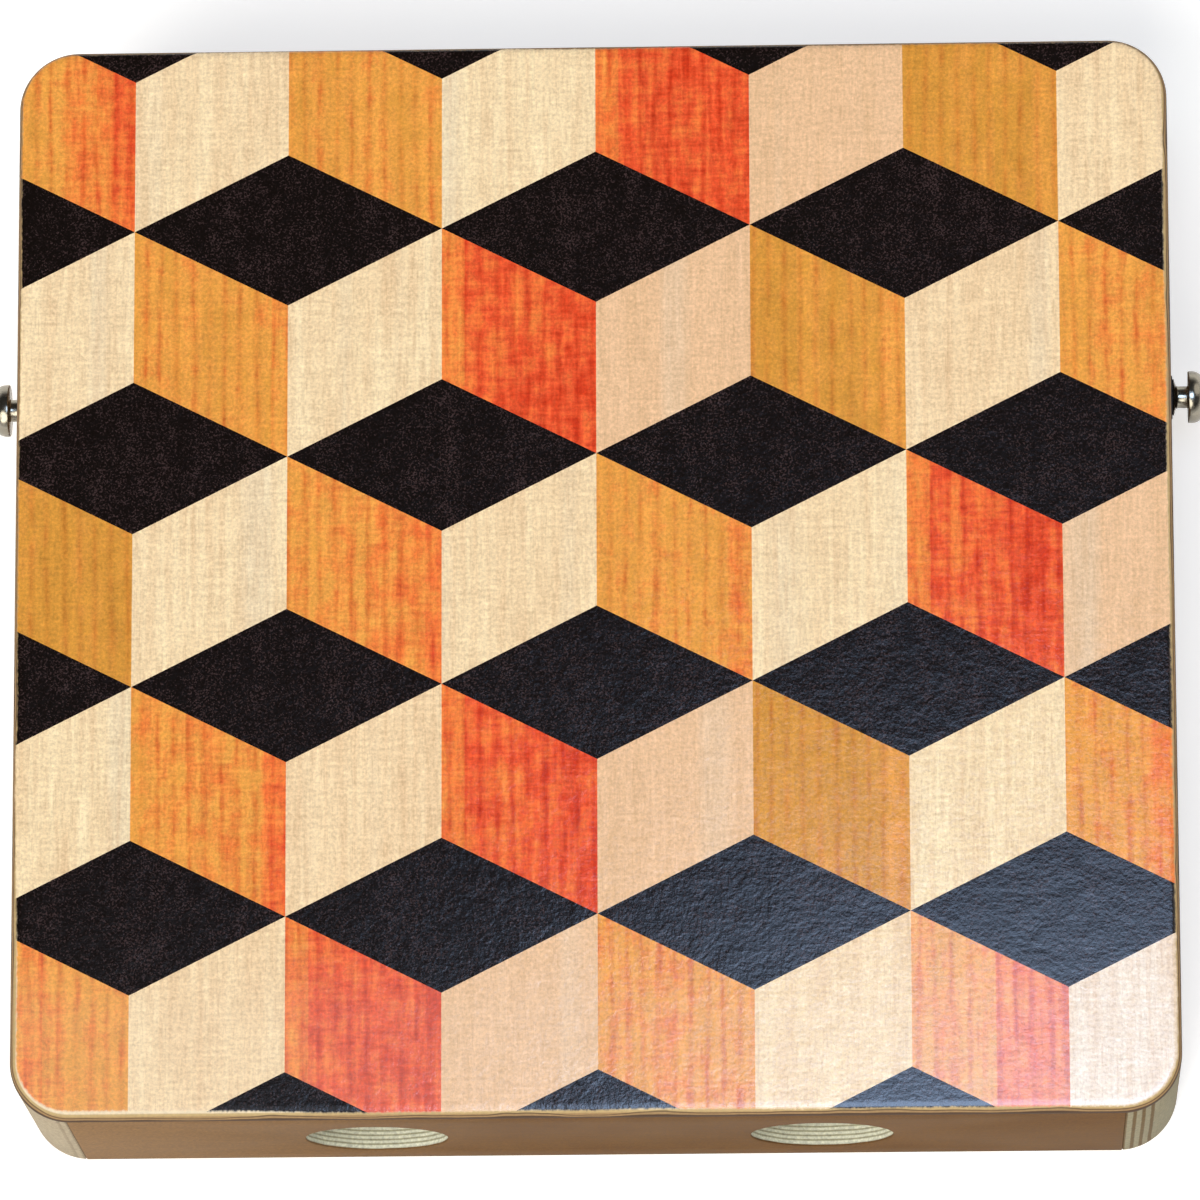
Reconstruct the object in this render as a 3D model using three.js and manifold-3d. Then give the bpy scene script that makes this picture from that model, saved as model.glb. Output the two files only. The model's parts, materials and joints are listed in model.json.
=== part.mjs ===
// Travel cajon: a flat plywood box drum with a thin playing plate, two sound holes and two strap buttons.
// Two snare strings lie behind the plate and are tuned with a long key passed through the sound holes.
// Sizes are in millimetres. +Z points out of the playing plate and +Y points away from the sound holes.
// The drum lies on its four feet at z = 0, centred on the origin.

import * as THREE from 'three';
import { mergeVertices } from 'three/addons/utils/BufferGeometryUtils.js';
import Module from 'manifold-3d';

// Clearances
const FIT_GAP = 0.3; // around a screw, pin or insert in its hole
const SEAT_GAP = 0.2; // under a turned or hooked piece that bears on its neighbour
const GLUE_GAP = 0.5; // at the free ends of strips and rails
const TIP_GAP = 3; // wood left ahead of a screw's point

// Box
const BODY_WIDTH = 310;
const BODY_HEIGHT = 293;
const BODY_DEPTH = 64;
const CORNER_RADIUS = 16;
const WALL = 15;
const TAPA_THICKNESS = 3;
const TAPA_RIM_RADIUS = 2;
const BACK_THICKNESS = 4;
const BLOCK_LEG = 28;
const BATTEN_SECTION = 8;

// Sound holes
const HOLE_DIAMETER = 38;
const HOLE_SPACING = 119;
const HOLE_RISE = 30;

// Feet
const FOOT_HEIGHT = 3.5;
const FOOT_DIAMETER = 16;
const FOOT_TAPER = 1;
const FOOT_MARGIN = 3;
const FOOT_SCREW_DIAMETER = 3;
const FOOT_SCREW_HEAD_DIAMETER = 6.4;
const FOOT_SCREW_HEAD_HEIGHT = 1.4;
const FOOT_SCREW_SUNK = 0.6;
const FOOT_SCREW_BITE = 10;

// Strap buttons
const STRAP_RISE = 56;
const STRAP_DEPTH = 38;
const STRAP_FELT_DIAMETER = 12;
const STRAP_FELT_THICKNESS = 1;
const BUTTON_LENGTH = 8.3;
const BUTTON_BASE_DIAMETER = 10;
const BUTTON_BASE_THICKNESS = 0.8;
const BUTTON_STEM_DIAMETER = 6;
const BUTTON_HEAD_DIAMETER = 14.2;
const BUTTON_HEAD_THICKNESS = 4.2;
const BUTTON_RIM = 1;
const BUTTON_END_DIAMETER = 9;
const STRAP_SCREW_DIAMETER = 3.5;
const STRAP_SCREW_HEAD_DIAMETER = 6.4;
const STRAP_SCREW_SUNK = 0.3;
const CROSS_SPAN = 3.4;
const CROSS_WIDTH = 0.8;
const CROSS_DEPTH = 1;

// String tuners
const KEY_ROOM = 5;
const RAIL_SECTION = 16;
const INSERT_DIAMETER = 8;
const INSERT_LENGTH = 13;
const TUNER_DIAMETER = 5;
const TUNER_LENGTH = 35;
const TUNER_HEAD_DIAMETER = 8.5;
const TUNER_HEAD_HEIGHT = 5;
const HEX_ACROSS = 4;
const HEX_DEPTH = 2.5;
const HOOK_WIDTH = 10;
const HOOK_THICKNESS = 2.5;
const HOOK_STANDOFF = 20;

// Strings and their anchor
const STRING_DIAMETER = 1;
const STRING_LIFT = 0.3;
const STRING_DROP = 5;
const BALL_DIAMETER = 4;
const NOTCH_SIDE = 0.8;
const LIP_CLEARANCE = 0.6;
const ANCHOR_SPACING = 50;
const ANCHOR_MARGIN = 7;
const ANCHOR_PLATE_THICKNESS = 2;
const ANCHOR_PLATE_LAP = 14;
const ANCHOR_BLOCK_DEPTH = 14;
const ANCHOR_BLOCK_HEIGHT = 20;
const ANCHOR_SCREW_SPACING = 24;
const ANCHOR_SCREW_DIAMETER = 3.2;
const ANCHOR_SCREW_HEAD_DIAMETER = 6.4;
const ANCHOR_SCREW_HEAD_HEIGHT = 2;

// Fineness of round shapes
const CORNER_STEPS = 10;
const RIM_STEPS = 4;
const HOLE_STEPS = 40;
const TURNED_STEPS = 24;
const BORE_STEPS = 16;
const DOME_STEPS = 4;

// Levels and inner faces that several pieces share
const REAR_Z = FOOT_HEIGHT;
const FRONT_Z = REAR_Z + BODY_DEPTH;
const TAPA_BACK_Z = FRONT_Z - TAPA_THICKNESS;
const BACK_INNER_Z = REAR_Z + BACK_THICKNESS;
const INNER_X = BODY_WIDTH / 2 - WALL;
const INNER_Y = BODY_HEIGHT / 2 - WALL;
const HOLE_X = HOLE_SPACING / 2;
const HOLE_Z = REAR_Z + HOLE_RISE;
const STRIP_HALF_X = INNER_X - BLOCK_LEG - GLUE_GAP;
const STRIP_HALF_Y = INNER_Y - BLOCK_LEG - GLUE_GAP;
const TUNER_Z = HOLE_Z + HOLE_DIAMETER / 2 - KEY_ROOM;
const RAIL_FACE_Y = INNER_Y - RAIL_SECTION;
const HOOK_BACK_Y = RAIL_FACE_Y - HOOK_STANDOFF;
const STRING_Z = TAPA_BACK_Z - STRING_LIFT - STRING_DIAMETER / 2;
const LIP_Z = TAPA_BACK_Z - LIP_CLEARANCE;
const NOTCH_Z = STRING_Z - STRING_DIAMETER / 2 - SEAT_GAP;
const NOTCH_WIDTH = STRING_DIAMETER + 2 * NOTCH_SIDE;
const BALL_SETBACK = SEAT_GAP + BALL_DIAMETER / 2;
const ANCHOR_X = ANCHOR_SPACING / 2;
const ANCHOR_FACE_Y = -INNER_Y + ANCHOR_BLOCK_DEPTH;
const ANCHOR_TOP_Z = STRING_Z - STRING_DROP - BALL_DIAMETER / 2 - SEAT_GAP;
const FOOT_OFFSET = FOOT_DIAMETER / 2 + FOOT_MARGIN;

const FINISHES = {
  print: { color: 0xc79a63, roughness: 0.35, metalness: 0 },
  veneer: { color: 0x84664a, roughness: 0.7, metalness: 0 },
  birch: { color: 0xc9b188, roughness: 0.75, metalness: 0 },
  softwood: { color: 0xd2b17c, roughness: 0.8, metalness: 0 },
  hardwood: { color: 0xa97e52, roughness: 0.65, metalness: 0 },
  steel: { color: 0x9a9da1, roughness: 0.35, metalness: 1 },
  nickel: { color: 0xc9c8c4, roughness: 0.18, metalness: 1 },
  brass: { color: 0xb9964d, roughness: 0.35, metalness: 1 },
  bronze: { color: 0xa9783f, roughness: 0.35, metalness: 1 },
  felt: { color: 0x1d1c1b, roughness: 0.95, metalness: 0 },
  rubber: { color: 0x191919, roughness: 0.85, metalness: 0 },
};

const wasm = await Module();
wasm.setup();

// Geometry helpers

function piece(name, geometry, finish, position = [0, 0, 0]) {
  const mesh = new THREE.Mesh(geometry, new THREE.MeshStandardMaterial(FINISHES[finish]));
  mesh.name = name;
  mesh.position.set(...position);
  return mesh;
}

function toSolid(geometry) {
  const bare = new THREE.BufferGeometry();
  bare.setAttribute('position', geometry.getAttribute('position'));
  bare.setIndex(geometry.getIndex());
  const merged = mergeVertices(bare, 1e-4);
  const corners = merged.index.array;
  const kept = [];
  for (let i = 0; i < corners.length; i += 3) {
    const [a, b, c] = corners.slice(i, i + 3);
    if (a !== b && b !== c && c !== a) kept.push(a, b, c);
  }
  const mesh = new wasm.Mesh({
    numProp: 3,
    vertProperties: new Float32Array(merged.getAttribute('position').array),
    triVerts: new Uint32Array(kept),
  });
  return new wasm.Manifold(mesh);
}

function toGeometry(solid) {
  const mesh = solid.getMesh();
  const geometry = new THREE.BufferGeometry();
  geometry.setAttribute('position', new THREE.BufferAttribute(mesh.vertProperties, 3));
  geometry.setIndex(new THREE.BufferAttribute(mesh.triVerts, 1));
  geometry.computeVertexNormals();
  return geometry;
}

function cut(body, ...tools) {
  return toGeometry(tools.reduce((rest, tool) => rest.subtract(toSolid(tool)), toSolid(body)));
}

function join(first, ...others) {
  return toGeometry(others.reduce((whole, other) => whole.add(toSolid(other)), toSolid(first)));
}

function common(body, tool) {
  return toGeometry(toSolid(body).intersect(toSolid(tool)));
}

function block([x0, x1], [y0, y1], [z0, z1]) {
  const geometry = new THREE.BoxGeometry(x1 - x0, y1 - y0, z1 - z0);
  return geometry.translate((x0 + x1) / 2, (y0 + y1) / 2, (z0 + z1) / 2);
}

function rodAlongX(diameter, [x0, x1], y, z) {
  const geometry = new THREE.CylinderGeometry(diameter / 2, diameter / 2, x1 - x0, BORE_STEPS);
  return geometry.rotateZ(Math.PI / 2).translate((x0 + x1) / 2, y, z);
}

function rodAlongY(diameter, x, [y0, y1], z, steps = BORE_STEPS) {
  const geometry = new THREE.CylinderGeometry(diameter / 2, diameter / 2, y1 - y0, steps);
  return geometry.translate(x, (y0 + y1) / 2, z);
}

function rodAlongZ(diameter, x, y, [z0, z1]) {
  const geometry = new THREE.CylinderGeometry(diameter / 2, diameter / 2, z1 - z0, BORE_STEPS);
  return geometry.rotateX(Math.PI / 2).translate(x, y, (z0 + z1) / 2);
}

// A profile of [radius, height] corners, listed anticlockwise, turned about the Y axis.
function turned(profile) {
  const points = profile.map(([radius, height]) => new THREE.Vector2(radius, height));
  return new THREE.LatheGeometry(points, TURNED_STEPS);
}

// The plan of the drum: a rectangle with round corners, grown inwards by an inset.
function planOutline(inset) {
  const points = [];
  const reach = CORNER_RADIUS - inset;
  const corners = [[1, 1, 0], [-1, 1, 0.5], [-1, -1, 1], [1, -1, 1.5]];
  for (const [sideX, sideY, start] of corners) {
    const centreX = sideX * (BODY_WIDTH / 2 - CORNER_RADIUS);
    const centreY = sideY * (BODY_HEIGHT / 2 - CORNER_RADIUS);
    for (let step = 0; step <= CORNER_STEPS; step += 1) {
      const angle = Math.PI * (start + (0.5 * step) / CORNER_STEPS);
      points.push([centreX + reach * Math.cos(angle), centreY + reach * Math.sin(angle)]);
    }
  }
  return points;
}

// A closed body through plan outlines at rising levels, each level given as [inset, z].
function planLoft(levels) {
  const rings = levels.map(([inset]) => planOutline(inset));
  const count = rings[0].length;
  const positions = [];
  rings.forEach((ring, level) => ring.forEach(([x, y]) => positions.push(x, y, levels[level][1])));
  const low = positions.length / 3;
  positions.push(0, 0, levels[0][1]);
  positions.push(0, 0, levels[levels.length - 1][1]);
  const corners = [];
  const top = (rings.length - 1) * count;
  for (let i = 0; i < count; i += 1) {
    const next = (i + 1) % count;
    for (let base = 0; base < top; base += count) {
      corners.push(base + i, base + next, base + count + next);
      corners.push(base + i, base + count + next, base + count + i);
    }
    corners.push(low, next, i);
    corners.push(low + 1, top + i, top + next);
  }
  const geometry = new THREE.BufferGeometry();
  geometry.setAttribute('position', new THREE.Float32BufferAttribute(positions, 3));
  geometry.setIndex(corners);
  geometry.computeVertexNormals();
  return geometry;
}

// Box: playing plate, four walls, back panel, corner blocks and battens

function buildTapa() {
  const levels = [[0, TAPA_BACK_Z]];
  for (let step = 0; step <= RIM_STEPS; step += 1) {
    const angle = (0.5 * Math.PI * step) / RIM_STEPS;
    const inset = TAPA_RIM_RADIUS * (1 - Math.cos(angle));
    levels.push([inset, FRONT_Z - TAPA_RIM_RADIUS * (1 - Math.sin(angle))]);
  }
  return piece('tapa', planLoft(levels), 'print');
}

function buildWalls() {
  const group = new THREE.Group();
  const frame = planLoft([[0, REAR_Z], [0, TAPA_BACK_Z]]);
  const depth = [REAR_Z - 1, FRONT_Z];
  const tall = [-BODY_HEIGHT, BODY_HEIGHT];
  const strapZ = FRONT_Z - STRAP_DEPTH;
  const strapPilot = STRAP_SCREW_DIAMETER + 2 * FIT_GAP;
  const pilotFrom = INNER_X + TIP_GAP - FIT_GAP;

  const right = common(frame, block([INNER_X, BODY_WIDTH], tall, depth));
  const rightPilot = rodAlongX(strapPilot, [pilotFrom, BODY_WIDTH], STRAP_RISE, strapZ);
  group.add(piece('side_right', cut(right, rightPilot), 'veneer'));

  const left = common(frame, block([-BODY_WIDTH, -INNER_X], tall, depth));
  const leftPilot = rodAlongX(strapPilot, [-BODY_WIDTH, -pilotFrom], STRAP_RISE, strapZ);
  group.add(piece('side_left', cut(left, leftPilot), 'veneer'));

  const between = [-INNER_X, INNER_X];
  group.add(piece('side_top', common(frame, block(between, [INNER_Y, BODY_HEIGHT], depth)), 'veneer'));

  const bottom = common(frame, block(between, [-BODY_HEIGHT, -INNER_Y], depth));
  const through = [-BODY_HEIGHT, -INNER_Y + 1];
  const holes = [-HOLE_X, HOLE_X].map((x) => rodAlongY(HOLE_DIAMETER, x, through, HOLE_Z, HOLE_STEPS));
  group.add(piece('side_bottom', cut(bottom, ...holes), 'veneer'));
  return group;
}

// The four inside corners, named by the walls that meet there.
const CORNERS = [
  { name: 'top_left', sideX: -1, sideY: 1 },
  { name: 'top_right', sideX: 1, sideY: 1 },
  { name: 'bottom_left', sideX: -1, sideY: -1 },
  { name: 'bottom_right', sideX: 1, sideY: -1 },
];

function footPlace({ sideX, sideY }) {
  return [sideX * (INNER_X - FOOT_OFFSET), sideY * (INNER_Y - FOOT_OFFSET)];
}

function buildBack() {
  const group = new THREE.Group();
  const halfX = INNER_X - FIT_GAP;
  const halfY = INNER_Y - FIT_GAP;
  const panel = block([-halfX, halfX], [-halfY, halfY], [REAR_Z, BACK_INNER_Z]);
  const pilot = FOOT_SCREW_DIAMETER + 2 * FIT_GAP;
  const screwTop = BACK_INNER_Z + FOOT_SCREW_BITE + FIT_GAP;
  const holes = CORNERS.map((corner) => rodAlongZ(pilot, ...footPlace(corner), [0, screwTop]));
  group.add(piece('back_panel', cut(panel, ...holes), 'birch'));

  CORNERS.forEach((corner, index) => {
    const wedge = new THREE.Shape();
    const heel = [corner.sideX * INNER_X, corner.sideY * INNER_Y];
    wedge.moveTo(...heel);
    wedge.lineTo(heel[0] - corner.sideX * BLOCK_LEG, heel[1]);
    wedge.lineTo(heel[0], heel[1] - corner.sideY * BLOCK_LEG);
    const depth = TAPA_BACK_Z - BACK_INNER_Z;
    const prism = new THREE.ExtrudeGeometry(wedge, { depth, bevelEnabled: false });
    prism.translate(0, 0, BACK_INNER_Z);
    group.add(piece(`corner_block_${corner.name}`, cut(prism, holes[index]), 'softwood'));
  });

  const level = [BACK_INNER_Z, BACK_INNER_Z + BATTEN_SECTION];
  const alongY = [-STRIP_HALF_Y, STRIP_HALF_Y];
  const leftX = [-INNER_X, -INNER_X + BATTEN_SECTION];
  const rightX = [INNER_X - BATTEN_SECTION, INNER_X];
  const topY = [INNER_Y - BATTEN_SECTION, INNER_Y];
  group.add(piece('back_batten_left', block(leftX, alongY, level), 'softwood'));
  group.add(piece('back_batten_right', block(rightX, alongY, level), 'softwood'));
  group.add(piece('back_batten_top', block([-STRIP_HALF_X, STRIP_HALF_X], topY, level), 'softwood'));
  return group;
}

// Feet and their screws, both turned about Z

function buildFeet() {
  const group = new THREE.Group();
  const seat = FOOT_SCREW_SUNK + FOOT_SCREW_HEAD_HEIGHT + SEAT_GAP;
  const bore = FOOT_SCREW_DIAMETER / 2 + FIT_GAP;
  const recess = FOOT_SCREW_HEAD_DIAMETER / 2 + FIT_GAP;
  const rim = FOOT_DIAMETER / 2;
  const footProfile = [
    [bore, FOOT_HEIGHT], [bore, seat], [recess, seat], [recess, 0],
    [rim - FOOT_TAPER, 0], [rim, FOOT_TAPER], [rim, FOOT_HEIGHT], [bore, FOOT_HEIGHT],
  ];
  const shank = FOOT_SCREW_DIAMETER / 2;
  const head = FOOT_SCREW_HEAD_DIAMETER / 2;
  const headTop = FOOT_SCREW_SUNK + FOOT_SCREW_HEAD_HEIGHT;
  const tip = BACK_INNER_Z + FOOT_SCREW_BITE;
  const screwProfile = [
    [0, FOOT_SCREW_SUNK], [head, FOOT_SCREW_SUNK], [head, headTop],
    [shank, headTop], [shank, tip - 2 * shank], [0, tip],
  ];
  for (const corner of CORNERS) {
    const place = [...footPlace(corner), 0];
    const foot = piece(`foot_${corner.name}`, turned(footProfile), 'rubber', place);
    const screw = piece(`foot_screw_${corner.name}`, turned(screwProfile), 'steel', place);
    foot.rotation.x = Math.PI / 2;
    screw.rotation.x = Math.PI / 2;
    group.add(foot, screw);
  }
  return group;
}

// Strap buttons, turned about X, with their felt washers and wood screws

function domeProfile(rimHeight) {
  const rim = BUTTON_HEAD_DIAMETER / 2;
  const end = BUTTON_END_DIAMETER / 2;
  const points = [];
  for (let step = 0; step <= DOME_STEPS; step += 1) {
    const angle = (0.5 * Math.PI * step) / DOME_STEPS;
    const radius = end + (rim - end) * Math.cos(angle);
    points.push([radius, rimHeight + (BUTTON_LENGTH - rimHeight) * Math.sin(angle)]);
  }
  return points;
}

function buttonGeometry() {
  const bore = STRAP_SCREW_DIAMETER / 2 + FIT_GAP;
  const countersink = STRAP_SCREW_HEAD_DIAMETER / 2 + FIT_GAP;
  const stem = BUTTON_STEM_DIAMETER / 2;
  const base = BUTTON_BASE_DIAMETER / 2;
  const headFrom = BUTTON_LENGTH - BUTTON_HEAD_THICKNESS;
  return turned([
    [bore, 0], [base, 0], [base, BUTTON_BASE_THICKNESS],
    [stem, 2 * BUTTON_BASE_THICKNESS], [stem, headFrom],
    [BUTTON_HEAD_DIAMETER / 2, headFrom], ...domeProfile(headFrom + BUTTON_RIM),
    [countersink, BUTTON_LENGTH], [bore, BUTTON_LENGTH - (countersink - bore)], [bore, 0],
  ]);
}

function strapScrewGeometry(buttonFrom) {
  const shank = STRAP_SCREW_DIAMETER / 2;
  const head = STRAP_SCREW_HEAD_DIAMETER / 2;
  const top = BUTTON_LENGTH - STRAP_SCREW_SUNK;
  const tip = -(buttonFrom + WALL - TIP_GAP);
  const screw = turned([
    [0, tip], [shank, tip + 2 * shank], [shank, top - (head - shank)], [head, top], [0, top],
  ]);
  const slot = [top - CROSS_DEPTH, top + 1];
  const span = [-CROSS_SPAN / 2, CROSS_SPAN / 2];
  const width = [-CROSS_WIDTH / 2, CROSS_WIDTH / 2];
  return cut(screw, block(span, slot, width), block(width, slot, span));
}

function buildStrapButtons() {
  const group = new THREE.Group();
  const feltBore = STRAP_SCREW_DIAMETER / 2 + FIT_GAP;
  const feltRim = STRAP_FELT_DIAMETER / 2;
  const feltProfile = [
    [feltBore, 0], [feltRim, 0], [feltRim, STRAP_FELT_THICKNESS], [feltBore, STRAP_FELT_THICKNESS], [feltBore, 0],
  ];
  const buttonFrom = SEAT_GAP + STRAP_FELT_THICKNESS;
  for (const [name, side] of [['left', -1], ['right', 1]]) {
    const hub = new THREE.Group();
    hub.position.set((side * BODY_WIDTH) / 2, STRAP_RISE, FRONT_Z - STRAP_DEPTH);
    hub.rotation.z = (-side * Math.PI) / 2;
    hub.add(piece(`strap_felt_${name}`, turned(feltProfile), 'felt', [0, SEAT_GAP / 2, 0]));
    hub.add(piece(`strap_button_${name}`, buttonGeometry(), 'nickel', [0, buttonFrom, 0]));
    hub.add(piece(`strap_screw_${name}`, strapScrewGeometry(buttonFrom), 'steel', [0, buttonFrom, 0]));
    group.add(hub);
  }
  return group;
}

// String tuners: rail, inserts, screws and hooks, the last three along Y

function tunerScrewGeometry() {
  const shank = TUNER_DIAMETER / 2;
  const head = TUNER_HEAD_DIAMETER / 2;
  const screw = turned([
    [0, -TUNER_HEAD_HEIGHT], [head, -TUNER_HEAD_HEIGHT], [head, 0],
    [shank, 0], [shank, TUNER_LENGTH - shank / 2], [shank / 2, TUNER_LENGTH], [0, TUNER_LENGTH],
  ]);
  const corner = HEX_ACROSS / Math.sqrt(3);
  const socket = new THREE.CylinderGeometry(corner, corner, 2 * HEX_DEPTH, 6);
  return cut(screw, socket.translate(0, -TUNER_HEAD_HEIGHT, 0));
}

function hookGeometry() {
  const half = HOOK_WIDTH / 2;
  const thickness = [-HOOK_THICKNESS, 0];
  const plate = block([-half, half], thickness, [TUNER_Z - half, LIP_Z]);
  const past = [-2 * HOOK_THICKNESS, HOOK_THICKNESS];
  const bore = rodAlongY(TUNER_DIAMETER + 2 * FIT_GAP, 0, past, TUNER_Z, TURNED_STEPS);
  const notch = block([-NOTCH_WIDTH / 2, NOTCH_WIDTH / 2], past, [NOTCH_Z, TAPA_BACK_Z]);
  return cut(plate, bore, notch);
}

function buildTuners() {
  const group = new THREE.Group();
  const half = RAIL_SECTION / 2;
  const rail = block([-STRIP_HALF_X, STRIP_HALF_X], [RAIL_FACE_Y, INNER_Y], [TUNER_Z - half, TUNER_Z + half]);
  const through = [RAIL_FACE_Y - 1, INNER_Y + 1];
  const seat = INSERT_DIAMETER + 2 * FIT_GAP;
  const seats = [-HOLE_X, HOLE_X].map((x) => rodAlongY(seat, x, through, TUNER_Z, TURNED_STEPS));
  group.add(piece('tuner_rail', cut(rail, ...seats), 'hardwood'));

  const bore = TUNER_DIAMETER / 2 + FIT_GAP;
  const outer = INSERT_DIAMETER / 2;
  const insertProfile = [[bore, 0], [outer, 0], [outer, INSERT_LENGTH], [bore, INSERT_LENGTH], [bore, 0]];
  const headY = HOOK_BACK_Y - HOOK_THICKNESS - SEAT_GAP;
  for (const [name, side] of [['left', -1], ['right', 1]]) {
    const x = side * HOLE_X;
    group.add(piece(`tuner_insert_${name}`, turned(insertProfile), 'brass', [x, RAIL_FACE_Y, TUNER_Z]));
    group.add(piece(`tuner_screw_${name}`, tunerScrewGeometry(), 'steel', [x, headY, TUNER_Z]));
    group.add(piece(`string_hook_${name}`, hookGeometry(), 'steel', [x, HOOK_BACK_Y, 0]));
  }
  return group;
}

// Strings with their ball ends, and the block, plate and screws that hold their fixed ends

function stringGeometry(side) {
  const low = new THREE.Vector3(side * ANCHOR_X, ANCHOR_FACE_Y - BALL_SETBACK, STRING_Z);
  const high = new THREE.Vector3(side * HOLE_X, HOOK_BACK_Y + BALL_SETBACK, STRING_Z);
  const radius = STRING_DIAMETER / 2;
  const circle = new THREE.Shape();
  circle.absarc(0, 0, radius, 0, 2 * Math.PI);
  const path = new THREE.LineCurve3(low, high);
  const run = new THREE.ExtrudeGeometry(circle, { extrudePath: path, steps: 1, curveSegments: 4 });
  const ends = [low, high].flatMap(({ x, y }) => {
    const knee = new THREE.SphereGeometry(radius, 8, 6).translate(x, y, STRING_Z);
    const drop = rodAlongZ(STRING_DIAMETER, x, y, [STRING_Z - STRING_DROP, STRING_Z]);
    const ball = new THREE.SphereGeometry(BALL_DIAMETER / 2, 12, 8);
    return [knee, drop, ball.translate(x, y, STRING_Z - STRING_DROP)];
  });
  return join(run, ...ends);
}

function buildStrings() {
  const group = new THREE.Group();
  group.add(piece('string_left', stringGeometry(-1), 'bronze'));
  group.add(piece('string_right', stringGeometry(1), 'bronze'));
  return group;
}

function buildAnchor() {
  const group = new THREE.Group();
  const blockHalf = ANCHOR_X + ANCHOR_MARGIN;
  const screwZ = ANCHOR_TOP_Z - ANCHOR_PLATE_LAP / 2;
  const screwXs = [-ANCHOR_SCREW_SPACING / 2, ANCHOR_SCREW_SPACING / 2];
  const plateFront = ANCHOR_FACE_Y + ANCHOR_PLATE_THICKNESS;
  const tip = -INNER_Y + TIP_GAP;
  const pilot = ANCHOR_SCREW_DIAMETER + 2 * FIT_GAP;
  const pilots = screwXs.map((x) => rodAlongY(pilot, x, [tip - FIT_GAP, plateFront + 1], screwZ));
  const across = [-blockHalf, blockHalf];

  const levels = [ANCHOR_TOP_Z - ANCHOR_BLOCK_HEIGHT, ANCHOR_TOP_Z];
  const wood = block(across, [-INNER_Y, ANCHOR_FACE_Y], levels);
  group.add(piece('anchor_block', cut(wood, ...pilots), 'hardwood'));

  const plate = block(across, [ANCHOR_FACE_Y, plateFront], [ANCHOR_TOP_Z - ANCHOR_PLATE_LAP, LIP_Z]);
  const notches = [-ANCHOR_X, ANCHOR_X].map((x) => {
    const width = [x - NOTCH_WIDTH / 2, x + NOTCH_WIDTH / 2];
    return block(width, [ANCHOR_FACE_Y - 1, plateFront + 1], [NOTCH_Z, TAPA_BACK_Z]);
  });
  group.add(piece('anchor_plate', cut(plate, ...pilots, ...notches), 'steel'));

  const shank = ANCHOR_SCREW_DIAMETER / 2;
  const head = ANCHOR_SCREW_HEAD_DIAMETER / 2;
  const length = plateFront + SEAT_GAP - tip;
  const profile = [
    [0, -length], [shank, 2 * shank - length], [shank, 0], [head, 0],
    [head, ANCHOR_SCREW_HEAD_HEIGHT], [0, ANCHOR_SCREW_HEAD_HEIGHT],
  ];
  ['left', 'right'].forEach((name, index) => {
    const place = [screwXs[index], plateFront + SEAT_GAP, screwZ];
    group.add(piece(`anchor_screw_${name}`, turned(profile), 'steel', place));
  });
  return group;
}

const cajon = new THREE.Group();
cajon.name = 'travel_cajon';
cajon.add(buildTapa(), buildWalls(), buildBack(), buildFeet());
cajon.add(buildStrapButtons(), buildTuners(), buildStrings(), buildAnchor());

export default cajon;
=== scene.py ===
"""Looks of a travel cajon: printed plate, plywood walls, strap buttons, feet and snare, in a plain studio."""

from __future__ import annotations

import json
import logging
import math
import random
from collections.abc import Callable, Iterable, Sequence
from dataclasses import dataclass
from enum import Enum
from functools import cache

import bmesh
import bpy
from mathutils import Color, Matrix, Vector

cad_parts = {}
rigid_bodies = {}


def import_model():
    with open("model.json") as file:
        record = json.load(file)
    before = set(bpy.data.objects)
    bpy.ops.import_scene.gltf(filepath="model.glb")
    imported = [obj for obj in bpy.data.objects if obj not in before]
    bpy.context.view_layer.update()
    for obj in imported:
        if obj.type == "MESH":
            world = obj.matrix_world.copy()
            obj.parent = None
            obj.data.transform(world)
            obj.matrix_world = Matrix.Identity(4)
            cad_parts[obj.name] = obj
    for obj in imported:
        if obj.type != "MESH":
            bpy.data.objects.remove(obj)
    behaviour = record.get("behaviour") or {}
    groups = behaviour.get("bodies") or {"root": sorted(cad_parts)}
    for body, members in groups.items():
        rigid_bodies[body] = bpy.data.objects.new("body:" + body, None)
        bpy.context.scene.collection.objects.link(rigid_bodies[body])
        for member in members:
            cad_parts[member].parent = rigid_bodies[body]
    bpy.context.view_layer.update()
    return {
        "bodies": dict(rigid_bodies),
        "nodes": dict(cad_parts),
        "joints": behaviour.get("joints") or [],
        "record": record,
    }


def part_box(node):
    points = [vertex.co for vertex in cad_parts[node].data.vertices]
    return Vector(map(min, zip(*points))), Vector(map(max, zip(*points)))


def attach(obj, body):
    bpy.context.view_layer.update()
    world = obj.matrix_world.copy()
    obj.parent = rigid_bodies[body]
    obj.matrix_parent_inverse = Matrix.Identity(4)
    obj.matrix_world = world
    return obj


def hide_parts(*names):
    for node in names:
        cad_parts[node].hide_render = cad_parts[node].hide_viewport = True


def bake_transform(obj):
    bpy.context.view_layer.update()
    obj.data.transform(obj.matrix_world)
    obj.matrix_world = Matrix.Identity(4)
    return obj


LOG = logging.getLogger("cajon")
MM = 0.001
QUARTER_TURN = math.pi / 2
CORNER = 16.0 * MM
SIDES = {"left": -1.0, "right": 1.0}
VALUE = "NodeSocketFloat"
PLACE = "NodeSocketVector"

Pair = tuple[float, float]
Point = tuple[float, float, float]
Rgba = tuple[float, float, float, float]
Blocks = tuple[tuple[int, int], ...]
Node = bpy.types.Node
Socket = bpy.types.NodeSocket
Sockets = bpy.types.NodeOutputs
Piece = bpy.types.Object
Layers = dict[str, Socket]


# Colours


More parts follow.
